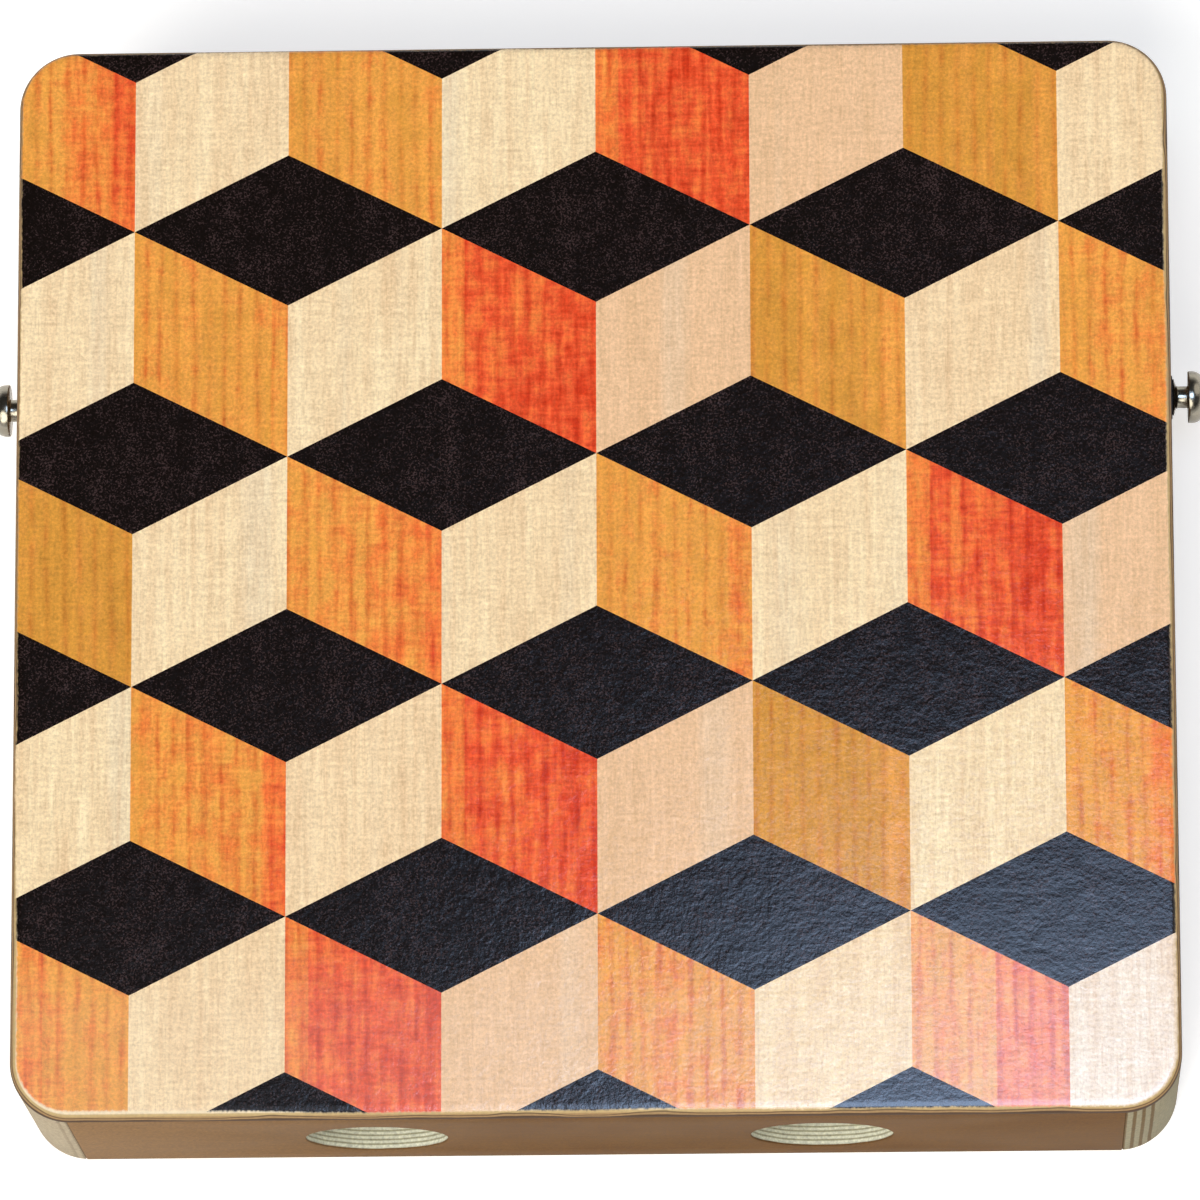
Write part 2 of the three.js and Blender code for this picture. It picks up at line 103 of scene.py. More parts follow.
class Tint(Enum):
    """Colours of the drum as they look in plain light, written in sRGB."""

    INK = "0E0603"
    INK_FLECK = "4A3838"
    CREAM = "F9E4BA"
    BLUSH = "EDC49C"
    ASH = "DDD3BC"
    # Near-white used only to paint sheen onto the print.
    CHALK = "F5EBE0"
    PALE_GRAIN = "D9B084"
    HAIR = "BE9468"
    RULE = "CC8450"
    MUSTARD = "D0913A"
    AMBER = "E89E48"
    ORANGE = "EC7F3C"
    RED = "E6582F"
    DEEP_RED = "D53E1B"
    WORN = "F0DDBB"
    PLATE_TAN = "C4A874"
    PLATE_PALE = "9C7C52"
    # Dark brown for the rim's glue seam, and painted shade on the rim's lower part.
    PLATE_DARK = "452C14"
    VENEER = "715230"
    VENEER_DARK = "644628"
    # Lighter veneer: painted light on the walls' left part.
    VENEER_FADED = "90714F"
    PLY_BRIGHT = "DEDECA"
    PLY_LINE = "A9A68A"
    # Plies of the left wall painted as lit, and of the right wall painted as shaded.
    PLY_PALE = "AC9E86"
    PLY_TAN = "988972"
    PLY_GREY = "938B72"
    PLY_DARK = "6C583B"
    INSIDE = "B79A70"
    BIRCH = "D2B684"
    BIRCH_DARK = "B8955F"
    PINE = "D8B67C"
    PINE_DARK = "BA8A4C"
    BEECH = "B98A5C"
    BEECH_DARK = "946540"
    NICKEL = "948E80"
    ZINC = "C3C6CA"
    BRASS = "C79A4E"
    BRONZE = "B4824A"
    TARNISH = "5E5850"
    FELT = "1B1A1C"
    FELT_PALE = "3A383B"
    RUBBER = "1E1E20"
    RUBBER_PALE = "343436"
    FLOOR = "FAF9F7"

    @property
    def rgba(self) -> Rgba:
        """The colour as linear red, green, blue and full alpha."""
        parts = [int(self.value[start : start + 2], 16) / 255 for start in (0, 2, 4)]
        return (*Color(parts).from_srgb_to_scene_linear(), 1.0)


STAIN_RAMP = (
    (0.0, Tint.MUSTARD),
    (0.34, Tint.AMBER),
    (0.60, Tint.ORANGE),
    (0.84, Tint.RED),
    (1.0, Tint.DEEP_RED),
)


# Node trees


class Graph:
    """A node tree with short calls that make and join its nodes."""

    def __init__(self, tree: bpy.types.NodeTree) -> None:
        """Keeps the tree that the calls work on."""
        self.tree = tree

    def feed(self, socket: Socket, source: object) -> None:
        """Joins a socket to another socket, or sets its value.

        Args:
            socket: The input to fill.
            source: An output socket, a tint or a plain value.
        """
        if isinstance(source, Socket):
            self.tree.links.new(source, socket)
        else:
            socket.default_value = source.rgba if isinstance(source, Tint) else source

    def node(self, kind: str, feeds: dict | None = None, **settings: object) -> Node:
        """Makes one node.

        Args:
            kind: Blender's name for the node.
            feeds: What fills its inputs, by name or number.
            settings: Properties of the node.

        Returns:
            The new node.
        """
        node = self.tree.nodes.new(kind)
        for name, value in settings.items():
            setattr(node, name, value)
        for key, source in (feeds or {}).items():
            self.feed(node.inputs[key], source)
        return node

    def put(self, kind: str, feeds: dict | None = None, **settings: object) -> Socket:
        """Makes one node and gives its first output."""
        return self.node(kind, feeds, **settings).outputs[0]

    def math(self, operation: str, *terms: object) -> Socket:
        """One sum on values, each a socket or a number."""
        return self.put("ShaderNodeMath", dict(enumerate(terms)), operation=operation)

    def plus(self, start: object, layer: Socket, share: float) -> Socket:
        """A value with a share of a layer added."""
        return self.math("MULTIPLY_ADD", layer, share, start)

    def vector(self, operation: str, *terms: object) -> Socket:
        """One sum on vectors, each a socket or a plain one."""
        return self.put("ShaderNodeVectorMath", dict(enumerate(terms)), operation=operation)

    def scaled(self, vector: object, amount: Socket) -> Socket:
        """A vector or colour times a number."""
        return self.put("ShaderNodeVectorMath", {0: vector, "Scale": amount}, operation="SCALE")

    def distance(self, place: Socket, point: Point) -> Socket:
        """How far a place is from a fixed point."""
        node = self.node("ShaderNodeVectorMath", {0: place, 1: point}, operation="DISTANCE")
        return node.outputs["Value"]

    def shrink(self, place: Socket, length: object, stretch: Point = (1.0, 1.0, 1.0)) -> Socket:
        """A place in units of a length, each axis stretched, so that noise read there has that size."""
        drawn = self.vector("MULTIPLY", place, stretch)
        return self.scaled(drawn, self.math("DIVIDE", 1.0, length))

    def noise(self, place: Socket, detail: float = 2.0, rough: float = 0.5) -> Socket:
        """Smooth noise from 0 to 1, with finer layers in it."""
        feeds = {"Vector": place, "Scale": 1.0, "Detail": detail, "Roughness": rough}
        return self.put("ShaderNodeTexNoise", feeds)

    def chance(self, place: Socket) -> Socket:
        """A random number, fixed for each place."""
        node = self.node("ShaderNodeTexWhiteNoise", {"Vector": place}, noise_dimensions="3D")
        return node.outputs["Value"]

    def ramp(self, value: Socket, low: float, high: float, first: float = 0.0, last: float = 1.0) -> Socket:
        """Maps low to first and high to last, and holds both ends."""
        feeds = {0: value, 1: low, 2: high, 3: first, 4: last}
        return self.put("ShaderNodeMapRange", feeds, clamp=True)

    def between(self, value: Socket, first: float, last: float) -> Socket:
        """Maps 0 to first and 1 to last."""
        return self.ramp(value, 0.0, 1.0, first, last)

    def mix(self, share: object, first: object, second: object, mode: str = "MIX") -> Socket:
        """Mixes two colours.

        Args:
            share: How much of the second, from 0 to 1.
            first: Socket or tint at 0.
            second: Socket or tint at 1.
            mode: Blender's name for the way of mixing.

        Returns:
            The mixed colour's socket.
        """
        node = self.node("ShaderNodeMix", data_type="RGBA", blend_type=mode)
        inputs = {socket.identifier: socket for socket in node.inputs}
        for key, source in (("Factor_Float", share), ("A_Color", first), ("B_Color", second)):
            self.feed(inputs[key], source)
        return next(socket for socket in node.outputs if socket.identifier == "Result_Color")

    def tinted(self, value: Socket, stops: Sequence[tuple[float, Tint]]) -> Socket:
        """Colours a value by a row of tints.

        Args:
            value: The value's socket, from 0 to 1.
            stops: Each tint and the value where it is pure, in order.

        Returns:
            The colour's socket.
        """
        node = self.node("ShaderNodeValToRGB", {"Fac": value})
        elements = node.color_ramp.elements
        while len(elements) < len(stops):
            elements.new(0.5)
        for element, (position, tint) in zip(elements, stops):
            element.position = position
            element.color = tint.rgba
        return node.outputs[0]

    def xyz(self, place: Socket) -> Sockets:
        """The three parts of a place, by their names X, Y and Z."""
        return self.node("ShaderNodeSeparateXYZ", {0: place}).outputs

    def joined(self, x: object, y: object, z: object = 0.0) -> Socket:
        """A vector made of three values."""
        return self.put("ShaderNodeCombineXYZ", {0: x, 1: y, 2: z})

    def effect(self, effect: Effect, **feeds: object) -> Sockets:
        """Places a shared effect, its inputs named with _ for a space."""
        named = {name.replace("_", " "): source for name, source in feeds.items()}
        return self.node("ShaderNodeGroup", named, node_tree=effect.group()).outputs


class EffectGroup(Graph):
    """A shader node group with named inputs and outputs."""

    def __init__(self, effect: Effect, takes: dict[str, str], gives: Sequence[str]) -> None:
        """Makes the empty group.

        Args:
            effect: The effect that it is for.
            takes: Its inputs and their kinds.
            gives: Its outputs, all plain values.
        """
        super().__init__(bpy.data.node_groups.new(effect.value, "ShaderNodeTree"))
        for socket, kind in takes.items():
            self.tree.interface.new_socket(socket, in_out="INPUT", socket_type=kind)
        for socket in gives:
            self.tree.interface.new_socket(socket, in_out="OUTPUT", socket_type=VALUE)
        self.takes = self.tree.nodes.new("NodeGroupInput").outputs
        self.gives = self.tree.nodes.new("NodeGroupOutput").inputs

    def give(self, name: str, source: Socket) -> None:
        """Joins one of the group's outputs."""
        self.feed(self.gives[name], source)


def make_blocks() -> EffectGroup:
    """Tumbling blocks: rows of rhombi, each with a left and a right face hanging below it.

    Returns:
        The group. Row, Column and Across say which block a point is in, and how far across its face.
    """
    takes = {"Vector": PLACE, "Half Width": VALUE, "Half Height": VALUE}
    group = EffectGroup(Effect.BLOCKS, takes, ("Top", "Left", "Row", "Column", "Across"))
    place = group.xyz(group.takes["Vector"])
    u = group.math("DIVIDE", place["X"], group.takes["Half Width"])
    v = group.math("MULTIPLY", group.math("DIVIDE", place["Y"], group.takes["Half Height"]), -1.0)

    def nearest(parity: Socket) -> Socket:
        """The nearest column of a row that holds only even or only odd columns."""
        half = group.math("MULTIPLY", group.math("SUBTRACT", u, parity), 0.5)
        return group.math("MULTIPLY_ADD", group.math("ROUND", half), 2.0, parity)

    row = group.math("FLOOR", group.math("DIVIDE", group.math("ADD", v, 1.0), 3.0))
    parity = group.math("FLOORED_MODULO", row, 2.0)
    fall = group.math("MULTIPLY_ADD", row, -3.0, v)
    aside = group.math("ABSOLUTE", group.math("SUBTRACT", u, nearest(parity)))
    above = group.math("LESS_THAN", fall, group.math("SUBTRACT", aside, 1.0))

    row = group.math("SUBTRACT", row, above)
    parity = group.math("ABSOLUTE", group.math("SUBTRACT", parity, above))
    fall = group.math("MULTIPLY_ADD", above, 3.0, fall)
    column = nearest(parity)
    offset = group.math("SUBTRACT", u, column)
    left = group.math("LESS_THAN", offset, 0.0)
    lower_edge = group.math("SUBTRACT", 1.0, group.math("ABSOLUTE", offset))
    group.give("Top", group.math("LESS_THAN", fall, lower_edge))
    group.give("Left", left)
    group.give("Row", row)
    group.give("Column", column)
    group.give("Across", group.math("ADD", offset, left))
    return group


def make_weave() -> EffectGroup:
    """Linen weave: fine uneven threads along X and along Y.

    Returns:
        The group, whose Weave runs from 0 to 1.
    """
    group = EffectGroup(Effect.WEAVE, {"Vector": PLACE, "Thread": VALUE}, ("Weave",))
    threads = []
    for stretch in ((1.0, 0.14, 0.0), (0.16, 1.0, 0.0)):
        place = group.shrink(group.takes["Vector"], group.takes["Thread"], stretch)
        threads.append(group.noise(place, 3.0, 0.6))
    both = group.math("MULTIPLY", group.math("ADD", *threads), 0.5)
    group.give("Weave", group.ramp(both, 0.33, 0.67))
    return group


def make_grain() -> EffectGroup:
    """Wood grain along Y: narrow streaks, fine fibres and broad patches.

    Returns:
        The group, with its three layers from 0 to 1.
    """
    layers = {
        "Streaks": ((1.0, 0.045, 1.0), 3.0, 0.55),
        "Fibres": ((5.0, 0.30, 5.0), 2.0, 0.6),
        "Patches": ((0.22, 0.05, 0.22), 2.0, 0.5),
    }
    group = EffectGroup(Effect.GRAIN, {"Vector": PLACE, "Spacing": VALUE}, tuple(layers))
    for layer, (stretch, detail, rough) in layers.items():
        place = group.shrink(group.takes["Vector"], group.takes["Spacing"], stretch)
        group.give(layer, group.ramp(group.noise(place, detail, rough), 0.28, 0.72))
    return group


def make_speckle() -> EffectGroup:
    """Fine speckle, the same in every direction.

    Returns:
        The group, whose Speckle runs from 0 to 1.
    """
    group = EffectGroup(Effect.SPECKLE, {"Vector": PLACE, "Grit": VALUE}, ("Speckle",))
    spread = group.noise(group.shrink(group.takes["Vector"], group.takes["Grit"]), 4.0, 0.65)
    group.give("Speckle", group.ramp(spread, 0.3, 0.7))
    return group


def make_plies() -> EffectGroup:
    """Plywood's layers by depth: a face veneer, then plies by turns pale and dark.

    Returns:
        The group. Veneer and Dark are masks.
    """
    takes = {"Depth": VALUE, "Face": VALUE, "Ply": VALUE}
    group = EffectGroup(Effect.PLIES, takes, ("Veneer", "Dark"))
    below = group.math("SUBTRACT", group.takes["Depth"], group.takes["Face"])
    swing = group.math("PINGPONG", group.math("DIVIDE", below, group.takes["Ply"]), 1.0)
    group.give("Veneer", group.math("LESS_THAN", below, 0.0))
    group.give("Dark", group.ramp(swing, 0.30, 0.52, 1.0, 0.0))
    return group


def make_rim() -> EffectGroup:
    """Distance inwards from the round-cornered outline of the drum.

    Returns:
        The group, whose Inset is in metres.
    """
    takes = {"Vector": PLACE, "Half Width": VALUE, "Half Height": VALUE, "Corner": VALUE}
    group = EffectGroup(Effect.RIM, takes, ("Inset",))
    place = group.xyz(group.takes["Vector"])
    past = []
    for axis, half in (("X", "Half Width"), ("Y", "Half Height")):
        flat = group.math("SUBTRACT", group.takes[half], group.takes["Corner"])
        past.append(group.math("SUBTRACT", group.math("ABSOLUTE", place[axis]), flat))
    beyond = group.joined(*(group.math("MAXIMUM", value, 0.0) for value in past))
    within = group.math("MINIMUM", group.math("MAXIMUM", *past), 0.0)
    outward = group.math("ADD", group.distance(beyond, (0.0, 0.0, 0.0)), within)
    group.give("Inset", group.math("SUBTRACT", group.takes["Corner"], outward))
    return group


class Effect(Enum):
    """Surface effects that finishes share, each a node group."""

    BLOCKS = "tumbling_blocks"
    WEAVE = "linen_weave"
    GRAIN = "wood_grain"
    SPECKLE = "fine_speckle"
    PLIES = "ply_layers"
    RIM = "rim_distance"

    def group(self) -> bpy.types.NodeTree:
        """The effect's node group, built the first time it is asked for."""
        return bpy.data.node_groups.get(self.value) or EFFECT_MAKERS[self]().tree


EFFECT_MAKERS: dict[Effect, Callable[[], EffectGroup]] = {
    Effect.BLOCKS: make_blocks,
    Effect.WEAVE: make_weave,
    Effect.GRAIN: make_grain,
    Effect.SPECKLE: make_speckle,
    Effect.PLIES: make_plies,
    Effect.RIM: make_rim,
}


# Finishes


class Axis(Enum):
    """Axes of the drum, each with the turn that brings a pattern along Y onto it."""

    X = (0.0, 0.0, QUARTER_TURN)
    Y = (0.0, 0.0, 0.0)
    Z = (QUARTER_TURN, 0.0, 0.0)


class Surface(Graph):
    """A new material's nodes, with its shader and the point that is being coloured."""

    def __init__(self, material: bpy.types.Material) -> None:
        """Starts the material from a plain shader.

        Args:
            material: The new material.
        """
        material.use_nodes = True
        super().__init__(material.node_tree)
        self.tree.nodes.clear()
        self.shader = self.node("ShaderNodeBsdfPrincipled")
        self.node("ShaderNodeOutputMaterial", {"Surface": self.shader.outputs[0]})
        self.place = self.node("ShaderNodeTexCoord").outputs["Object"]

    def show(self, **looks: object) -> None:
        """Fills the shader's inputs, named with _ for a space."""
        for name, source in looks.items():
            self.feed(self.shader.inputs[name.replace("_", " ")], source)

    def bump(self, height: Socket, depth: float) -> None:
        """Raises the surface by a height from 0 to 1, of a depth in metres."""
        feeds = {"Height": height, "Distance": depth, "Strength": 1.0}
        self.show(Normal=self.put("ShaderNodeBump", feeds))

    def speckle(self, grit: float) -> Socket:
        """Fine speckle of one size of grit."""
        return self.effect(Effect.SPECKLE, Vector=self.place, Grit=grit)["Speckle"]

    def grain(self, along: Axis, spacing: float) -> Sockets:
        """Wood grain or turning marks that run along one axis."""
        turned = self.put("ShaderNodeMapping", {"Vector": self.place, "Rotation": along.value})
        return self.effect(Effect.GRAIN, Vector=turned, Spacing=spacing)


@dataclass(frozen=True)
class Finish:
    """One surface finish, which becomes a material when it is first asked for.

    Attributes:
        name: The material's name.
        slot: The record's material slot that it belongs to; not used.
    """

    name: str
    slot: str

    @cache
    def material(self) -> bpy.types.Material:
        """The finish's material.

        Returns:
            The one material of this finish, made if need be.
        """
        material = bpy.data.materials.new(self.name)
        self.dress(Surface(material))
        return material

    def dress(self, on: Surface) -> None:
        """Joins the finish's nodes to a surface."""
        raise NotImplementedError


@dataclass(frozen=True)
class PrintPoint:
    """What the print is made of at the point that is being coloured.

    Attributes:
        on: The plate's surface.
        block: Which block and face the point is in.
        marks: Masks of the blocks that have a colour of their own.
        grain: The plate's wood grain.
        layers: The print's texture, each layer swinging about 0.
    """

    on: Surface
    block: Sockets
    marks: Layers
    grain: Sockets
    layers: Layers

    def luck(self, seed: object) -> Socket:
        """A random number for each block, another for each seed."""
        return self.on.chance(self.on.joined(self.block["Column"], self.block["Row"], seed))

    def stirred(self, start: object, **shares: float) -> Socket:
        """Adds layers of texture to a value.

        Args:
            start: The value without them.
            shares: How much of each layer is added, by its name.

        Returns:
            The sum's socket.
        """
        for name, share in shares.items():
            start = self.on.plus(start, self.layers[name], share)
        return start


@dataclass(frozen=True)
class PrintedPlate(Finish):
    """Tumbling blocks printed on birch under satin varnish, worn bare along the rim.

    Attributes:
        half_width: Half of the plate's width.
        half_height: Half of the plate's height.
        front: Level of the plate's front.
        corner: Radius of its corners.
        block_half_width: Half of a rhombus across.
        block_half_height: Half of a rhombus up and down.
        centre: Place of the block in row 0 and column 0.
        red_blocks: Column and row of the blocks with a red left face.
        mustard_blocks: The same for mustard.
        warm_blocks: Blocks with an amber left face that is redder on its right half.
        split_sheen_blocks: Blocks with a left face that is red on its right half, both faces painted paler as
            painted sheen.
        face_seed: Seed of each face's tone.
        edge_seed: Seed of the tone along a face's right edge.
        strips: Planks across each face.
        rule_spacing: Distance between the upright lines in the stain.
        rule_sway: Length over which a line sways.
        rule_break: Length over which a line breaks off.
        thread: Width of a thread in the linen texture.
        fleck: Size of the finest flecks.
        blotch: Size of the stain's blotches.
        streak: Width of the wood's streaks.
        ash_width: Width of the greyish stretches of the pale faces.
        ash_step: How far those stretches differ from row to row.
        ink_grit: Size of the specks in the black.
        painted_light_from: Level on the plate below which the print is painted paler, as painted sheen.
        painted_light_to: Level where that painted sheen is strongest.
        painted_light: How far the print is mixed towards near-white there, as painted sheen.
        print_shift: How far the print sits off the plate's middle, to the left and up.
        worn: Least and greatest width of the bare rim.
        worn_length: Length over which that width changes.
        worn_corner: How much wider it is at the most worn corner.
        corner_reach: Distances from that corner where the extra width starts to fall and is gone.
        frayed: How far the print's edge is frayed to either side.
        fray: Length of a fray.
        worn_soft: Start and end of the print's soft edge.
        waver: Length over which the plies waver.
        wavering: How far they waver to either side.
        bare_skin: Depths between which bare wood darkens to tan.
        face_ply: Depths between which it turns to the face ply.
        rim_shade: Depths below which the rim turns dark down to its rear, as painted shade.
        seam: Depth of the dark glue seam.
        seam_soft: Distances from the seam between which it ends.
        grit: Size of the fine mottle.
        thinned: Distances from the rim between which the varnish gets its full thickness.
        peel: Size of the lumps in the varnish.
        peel_depth: Height of those lumps.
    """

    half_width: float
    half_height: float
    front: float
    corner: float
    block_half_width: float = 41.46 * MM
    block_half_height: float = 20.90 * MM
    centre: Pair = (0.96 * MM, 95.91 * MM)
    red_blocks: Blocks = ((1, -1), (0, 0), (3, 1), (0, 2), (-1, 3))
    mustard_blocks: Blocks = ((3, -1), (2, 0), (-3, 1), (2, 2))
    warm_blocks: Blocks = ((-3, -1), (-1, 1), (4, 2))
    split_sheen_blocks: Blocks = ((3, 3),)
    face_seed: float = 17.0
    edge_seed: float = 29.0
    strips: float = 6.7
    rule_spacing: float = 4.3 * MM
    rule_sway: float = 9.0 * MM
    rule_break: float = 5.0 * MM
    thread: float = 1.4 * MM
    fleck: float = 0.9 * MM
    blotch: float = 4.5 * MM
    streak: float = 2.2 * MM
    ash_width: float = 14.0 * MM
    ash_step: float = 7.3
    ink_grit: float = 0.55 * MM
    painted_light_from: float = -95.0 * MM
    painted_light_to: float = -118.0 * MM
    painted_light: float = 0.075
    print_shift: Pair = (0.15 * MM, -0.50 * MM)
    worn: Pair = (0.95 * MM, 1.35 * MM)
    worn_length: float = 45.0 * MM
    worn_corner: float = 0.7 * MM
    corner_reach: Pair = (25.0 * MM, 95.0 * MM)
    frayed: float = 0.22 * MM
    fray: float = 0.9 * MM
    worn_soft: Pair = (-0.30 * MM, 0.25 * MM)
    waver: float = 22.0 * MM
    wavering: float = 0.35 * MM
    bare_skin: Pair = (0.01 * MM, 0.06 * MM)
    face_ply: Pair = (0.15 * MM, 0.45 * MM)
    rim_shade: Pair = (0.95 * MM, 1.20 * MM)
    seam: float = 0.55 * MM
    seam_soft: Pair = (0.06 * MM, 0.14 * MM)
    grit: float = 1.1 * MM
    thinned: Pair = (1.6 * MM, 3.8 * MM)
    peel: float = 1.5 * MM
    peel_depth: float = 0.046 * MM

    def mark(self, on: Surface, tile: Socket, blocks: Blocks) -> Socket:
        """Marks some of the blocks.

        Args:
            on: The plate's surface.
            tile: The block's column and row.
            blocks: Column and row of each block to mark.

        Returns:
            A mask that is 1 on the marked blocks.
        """
        marked: object = 0.0
        for column, row in blocks:
            away = on.distance(tile, (float(column), float(row), 0.0))
            marked = on.math("MAXIMUM", marked, on.math("LESS_THAN", away, 0.5))
        return marked

    def point(self, on: Surface) -> PrintPoint:
        """Finds the block, the marks and the texture at the point that is being coloured.

        Args:
            on: The plate's surface.

        Returns:
            The point.
        """
        home = (-self.centre[0], -self.centre[1], 0.0)
        centred = on.put("ShaderNodeMapping", {"Vector": on.place, "Location": home})
        sizes = {"Half_Width": self.block_half_width, "Half_Height": self.block_half_height}
        block = on.effect(Effect.BLOCKS, Vector=centred, **sizes)
        marked = {
            "red": self.red_blocks,
            "mustard": self.mustard_blocks,
            "warm": self.warm_blocks,
            "split_sheen": self.split_sheen_blocks,
        }
        tile = on.joined(block["Column"], block["Row"])
        marks = {name: self.mark(on, tile, blocks) for name, blocks in marked.items()}
        grain = on.grain(Axis.Y, self.streak)
        blotches = on.noise(on.shrink(on.place, self.blotch, (1.0, 0.6, 0.0)))
        layers = {
            "weave": on.effect(Effect.WEAVE, Vector=on.place, Thread=self.thread)["Weave"],
            "flecks": on.speckle(self.fleck),
            "blotches": on.ramp(blotches, 0.3, 0.7),
            "streaks": grain["Streaks"],
            "patches": grain["Patches"],
        }
        swinging = {name: on.between(layer, -0.5, 0.5) for name, layer in layers.items()}
        return PrintPoint(on, block, marks, grain, swinging)

    def print_colour(self, on: Surface) -> Socket:
        """The printed blocks, stained on their left faces, pale on their right ones and black on top, with
        painted sheen near the bottom.

        Args:
            on: The plate's surface.

        Returns:
            The print's colour.
        """
        point = self.point(on)
        faces = on.mix(point.block["Left"], self.pale_wood(point), self.stain(point))
        # Painted sheen: near the plate's bottom the print is mixed towards near-white, standing in for
        # reflected light.
        painted_light = on.ramp(on.xyz(on.place)["Y"], self.painted_light_from, self.painted_light_to, 0.0, self.painted_light)
        faces = on.mix(painted_light, faces, Tint.CHALK)
        return on.mix(point.block["Top"], faces, self.ink(point))

    def ink(self, point: PrintPoint) -> Socket:
        """The black of the top faces, finely flecked, more in some patches than in others."""
        fleck = point.stirred(point.on.speckle(self.ink_grit), blotches=0.20, patches=0.14)
        return point.on.mix(point.on.ramp(fleck, 0.54, 1.12), Tint.INK, Tint.INK_FLECK)

    def pale_wood(self, point: PrintPoint) -> Socket:
        """The cream of the right faces, pinker beside a red face, with upright grain, and painted sheen on
        the split block.

        Args:
            point: The point on the print.

        Returns:
            The cream's colour.
        """
        on = point.on
        pink = on.math("MULTIPLY", point.luck(self.face_seed), 0.30)
        pale = on.mix(on.math("MAXIMUM", pink, point.marks["red"]), Tint.CREAM, Tint.BLUSH)
        # Painted sheen: the split block's pale face is mixed far towards near-white.
        pale = on.mix(on.math("MULTIPLY", point.marks["split_sheen"], 0.75), pale, Tint.CHALK)
        stretch = on.math("DIVIDE", on.xyz(on.place)["X"], self.ash_width)
        ash = on.noise(on.joined(stretch, on.math("MULTIPLY", point.block["Row"], self.ash_step)), 1.0)
        pale = on.mix(on.ramp(ash, 0.56, 0.72, 0.0, 0.45), pale, Tint.ASH)
        streak = point.stirred(0.26, streaks=0.48, weave=-0.30, patches=0.20, flecks=-0.2)
        pale = on.mix(on.between(streak, 0.0, 1.0), pale, Tint.PALE_GRAIN)
        pale = on.scaled(pale, point.stirred(1.04, weave=0.17, flecks=0.34))
        return on.mix(on.ramp(point.grain["Fibres"], 0.62, 0.92, 0.0, 0.22), pale, Tint.HAIR)

    def ruled_lines(self, on: Surface) -> Socket:
        """Soft upright lines in the stain, broken here and there.

        Args:
            on: The plate's surface.

        Returns:
            A mask that is 1 on a line.
        """
        sway = on.noise(on.shrink(on.place, self.rule_sway, (1.0, 0.12, 0.0)))
        across = on.math("DIVIDE", on.xyz(on.place)["X"], self.rule_spacing)
        across = on.math("ADD", across, on.ramp(sway, 0.25, 0.75, -0.22, 0.22))
        line = on.ramp(on.math("PINGPONG", across, 0.5), 0.0, 0.28, 1.0, 0.0)
        breaks = on.noise(on.shrink(on.place, self.rule_break, (0.9, 0.5, 0.0)), 3.0, 0.65)
        return on.math("MULTIPLY", line, on.ramp(breaks, 0.30, 0.70))

    def stain(self, point: PrintPoint) -> Socket:
        """The stain of the left faces, from mustard through amber to red, with a little painted sheen on the
        split block.

        Args:
            point: The point on the print.

        Returns:
            The stain's colour.
        """
        on, marks, across = point.on, point.marks, point.block["Across"]
        strip = on.math("FLOOR", on.math("MULTIPLY", across, self.strips))
        tone = on.between(point.luck(self.face_seed), 0.24, 0.40)
        tone = on.math("ADD", tone, on.ramp(point.luck(strip), 0.6, 1.0, 0.0, 0.12))
        edge_luck = on.ramp(point.luck(self.edge_seed), 0.3, 1.0)
        right_edge = on.math("MULTIPLY", on.ramp(across, 0.83, 0.87), edge_luck)
        tone = on.plus(tone, right_edge, 0.30)
        tone = on.plus(tone, on.math("MULTIPLY", marks["warm"], on.ramp(across, 0.50, 0.58)), 0.19)
        tone = on.plus(tone, marks["mustard"], -0.30)
        red_tone = on.ramp(across, 0.97 / self.strips, 1.03 / self.strips, 0.60, 0.78)
        red_tone = on.math("ADD", red_tone, on.ramp(across, 0.3, 1.0, 0.0, 0.09))
        tone = on.math("MAXIMUM", tone, on.math("MULTIPLY", marks["red"], red_tone))
        right_half = on.math("MULTIPLY", marks["split_sheen"], on.ramp(across, 0.52, 0.54))
        tone = on.math("MAXIMUM", tone, on.math("MULTIPLY", right_half, 0.70))
        tone = point.stirred(tone, patches=0.18, blotches=0.24, weave=-0.20, streaks=0.14)
        rule = self.ruled_lines(on)
        stain = on.tinted(on.plus(tone, rule, 0.10), STAIN_RAMP)
        stain = on.mix(on.math("MULTIPLY", rule, 0.58), stain, Tint.RULE, "MULTIPLY")
        # Painted sheen: the split block's stain is mixed a little towards near-white.
        stain = on.mix(on.math("MULTIPLY", marks["split_sheen"], 0.08), stain, Tint.CHALK)
        return on.scaled(stain, point.stirred(1.06, weave=0.34, flecks=0.46, streaks=-0.16))

    def inset(self, on: Surface, place: Socket) -> Socket:
        """Distance of a place from the plate's outline."""
        sizes = {"Half_Width": self.half_width, "Half_Height": self.half_height, "Corner": self.corner}
        return on.effect(Effect.RIM, Vector=place, **sizes)["Inset"]

    def bare_rim(self, on: Surface) -> Socket:
        """Where the print has worn off, most of all at one corner.

        Args:
            on: The plate's surface.

        Returns:
            A mask that is 1 on bare wood.
        """
        inset = self.inset(on, on.vector("ADD", on.place, (*self.print_shift, 0.0)))
        away = on.distance(on.place, (-self.half_width, -self.half_height, self.front))
        broad = on.noise(on.shrink(on.place, self.worn_length), 1.0)
        fray = on.noise(on.shrink(on.place, self.fray, (1.0, 0.5, 1.0)), 3.0, 0.6)
        worn_to = on.ramp(broad, 0.35, 0.65, *self.worn)
        worn_to = on.math("ADD", worn_to, on.ramp(away, *self.corner_reach, self.worn_corner, 0.0))
        worn_to = on.math("ADD", worn_to, on.ramp(fray, 0.3, 0.7, -self.frayed, self.frayed))
        return on.ramp(on.math("SUBTRACT", worn_to, inset), *self.worn_soft)

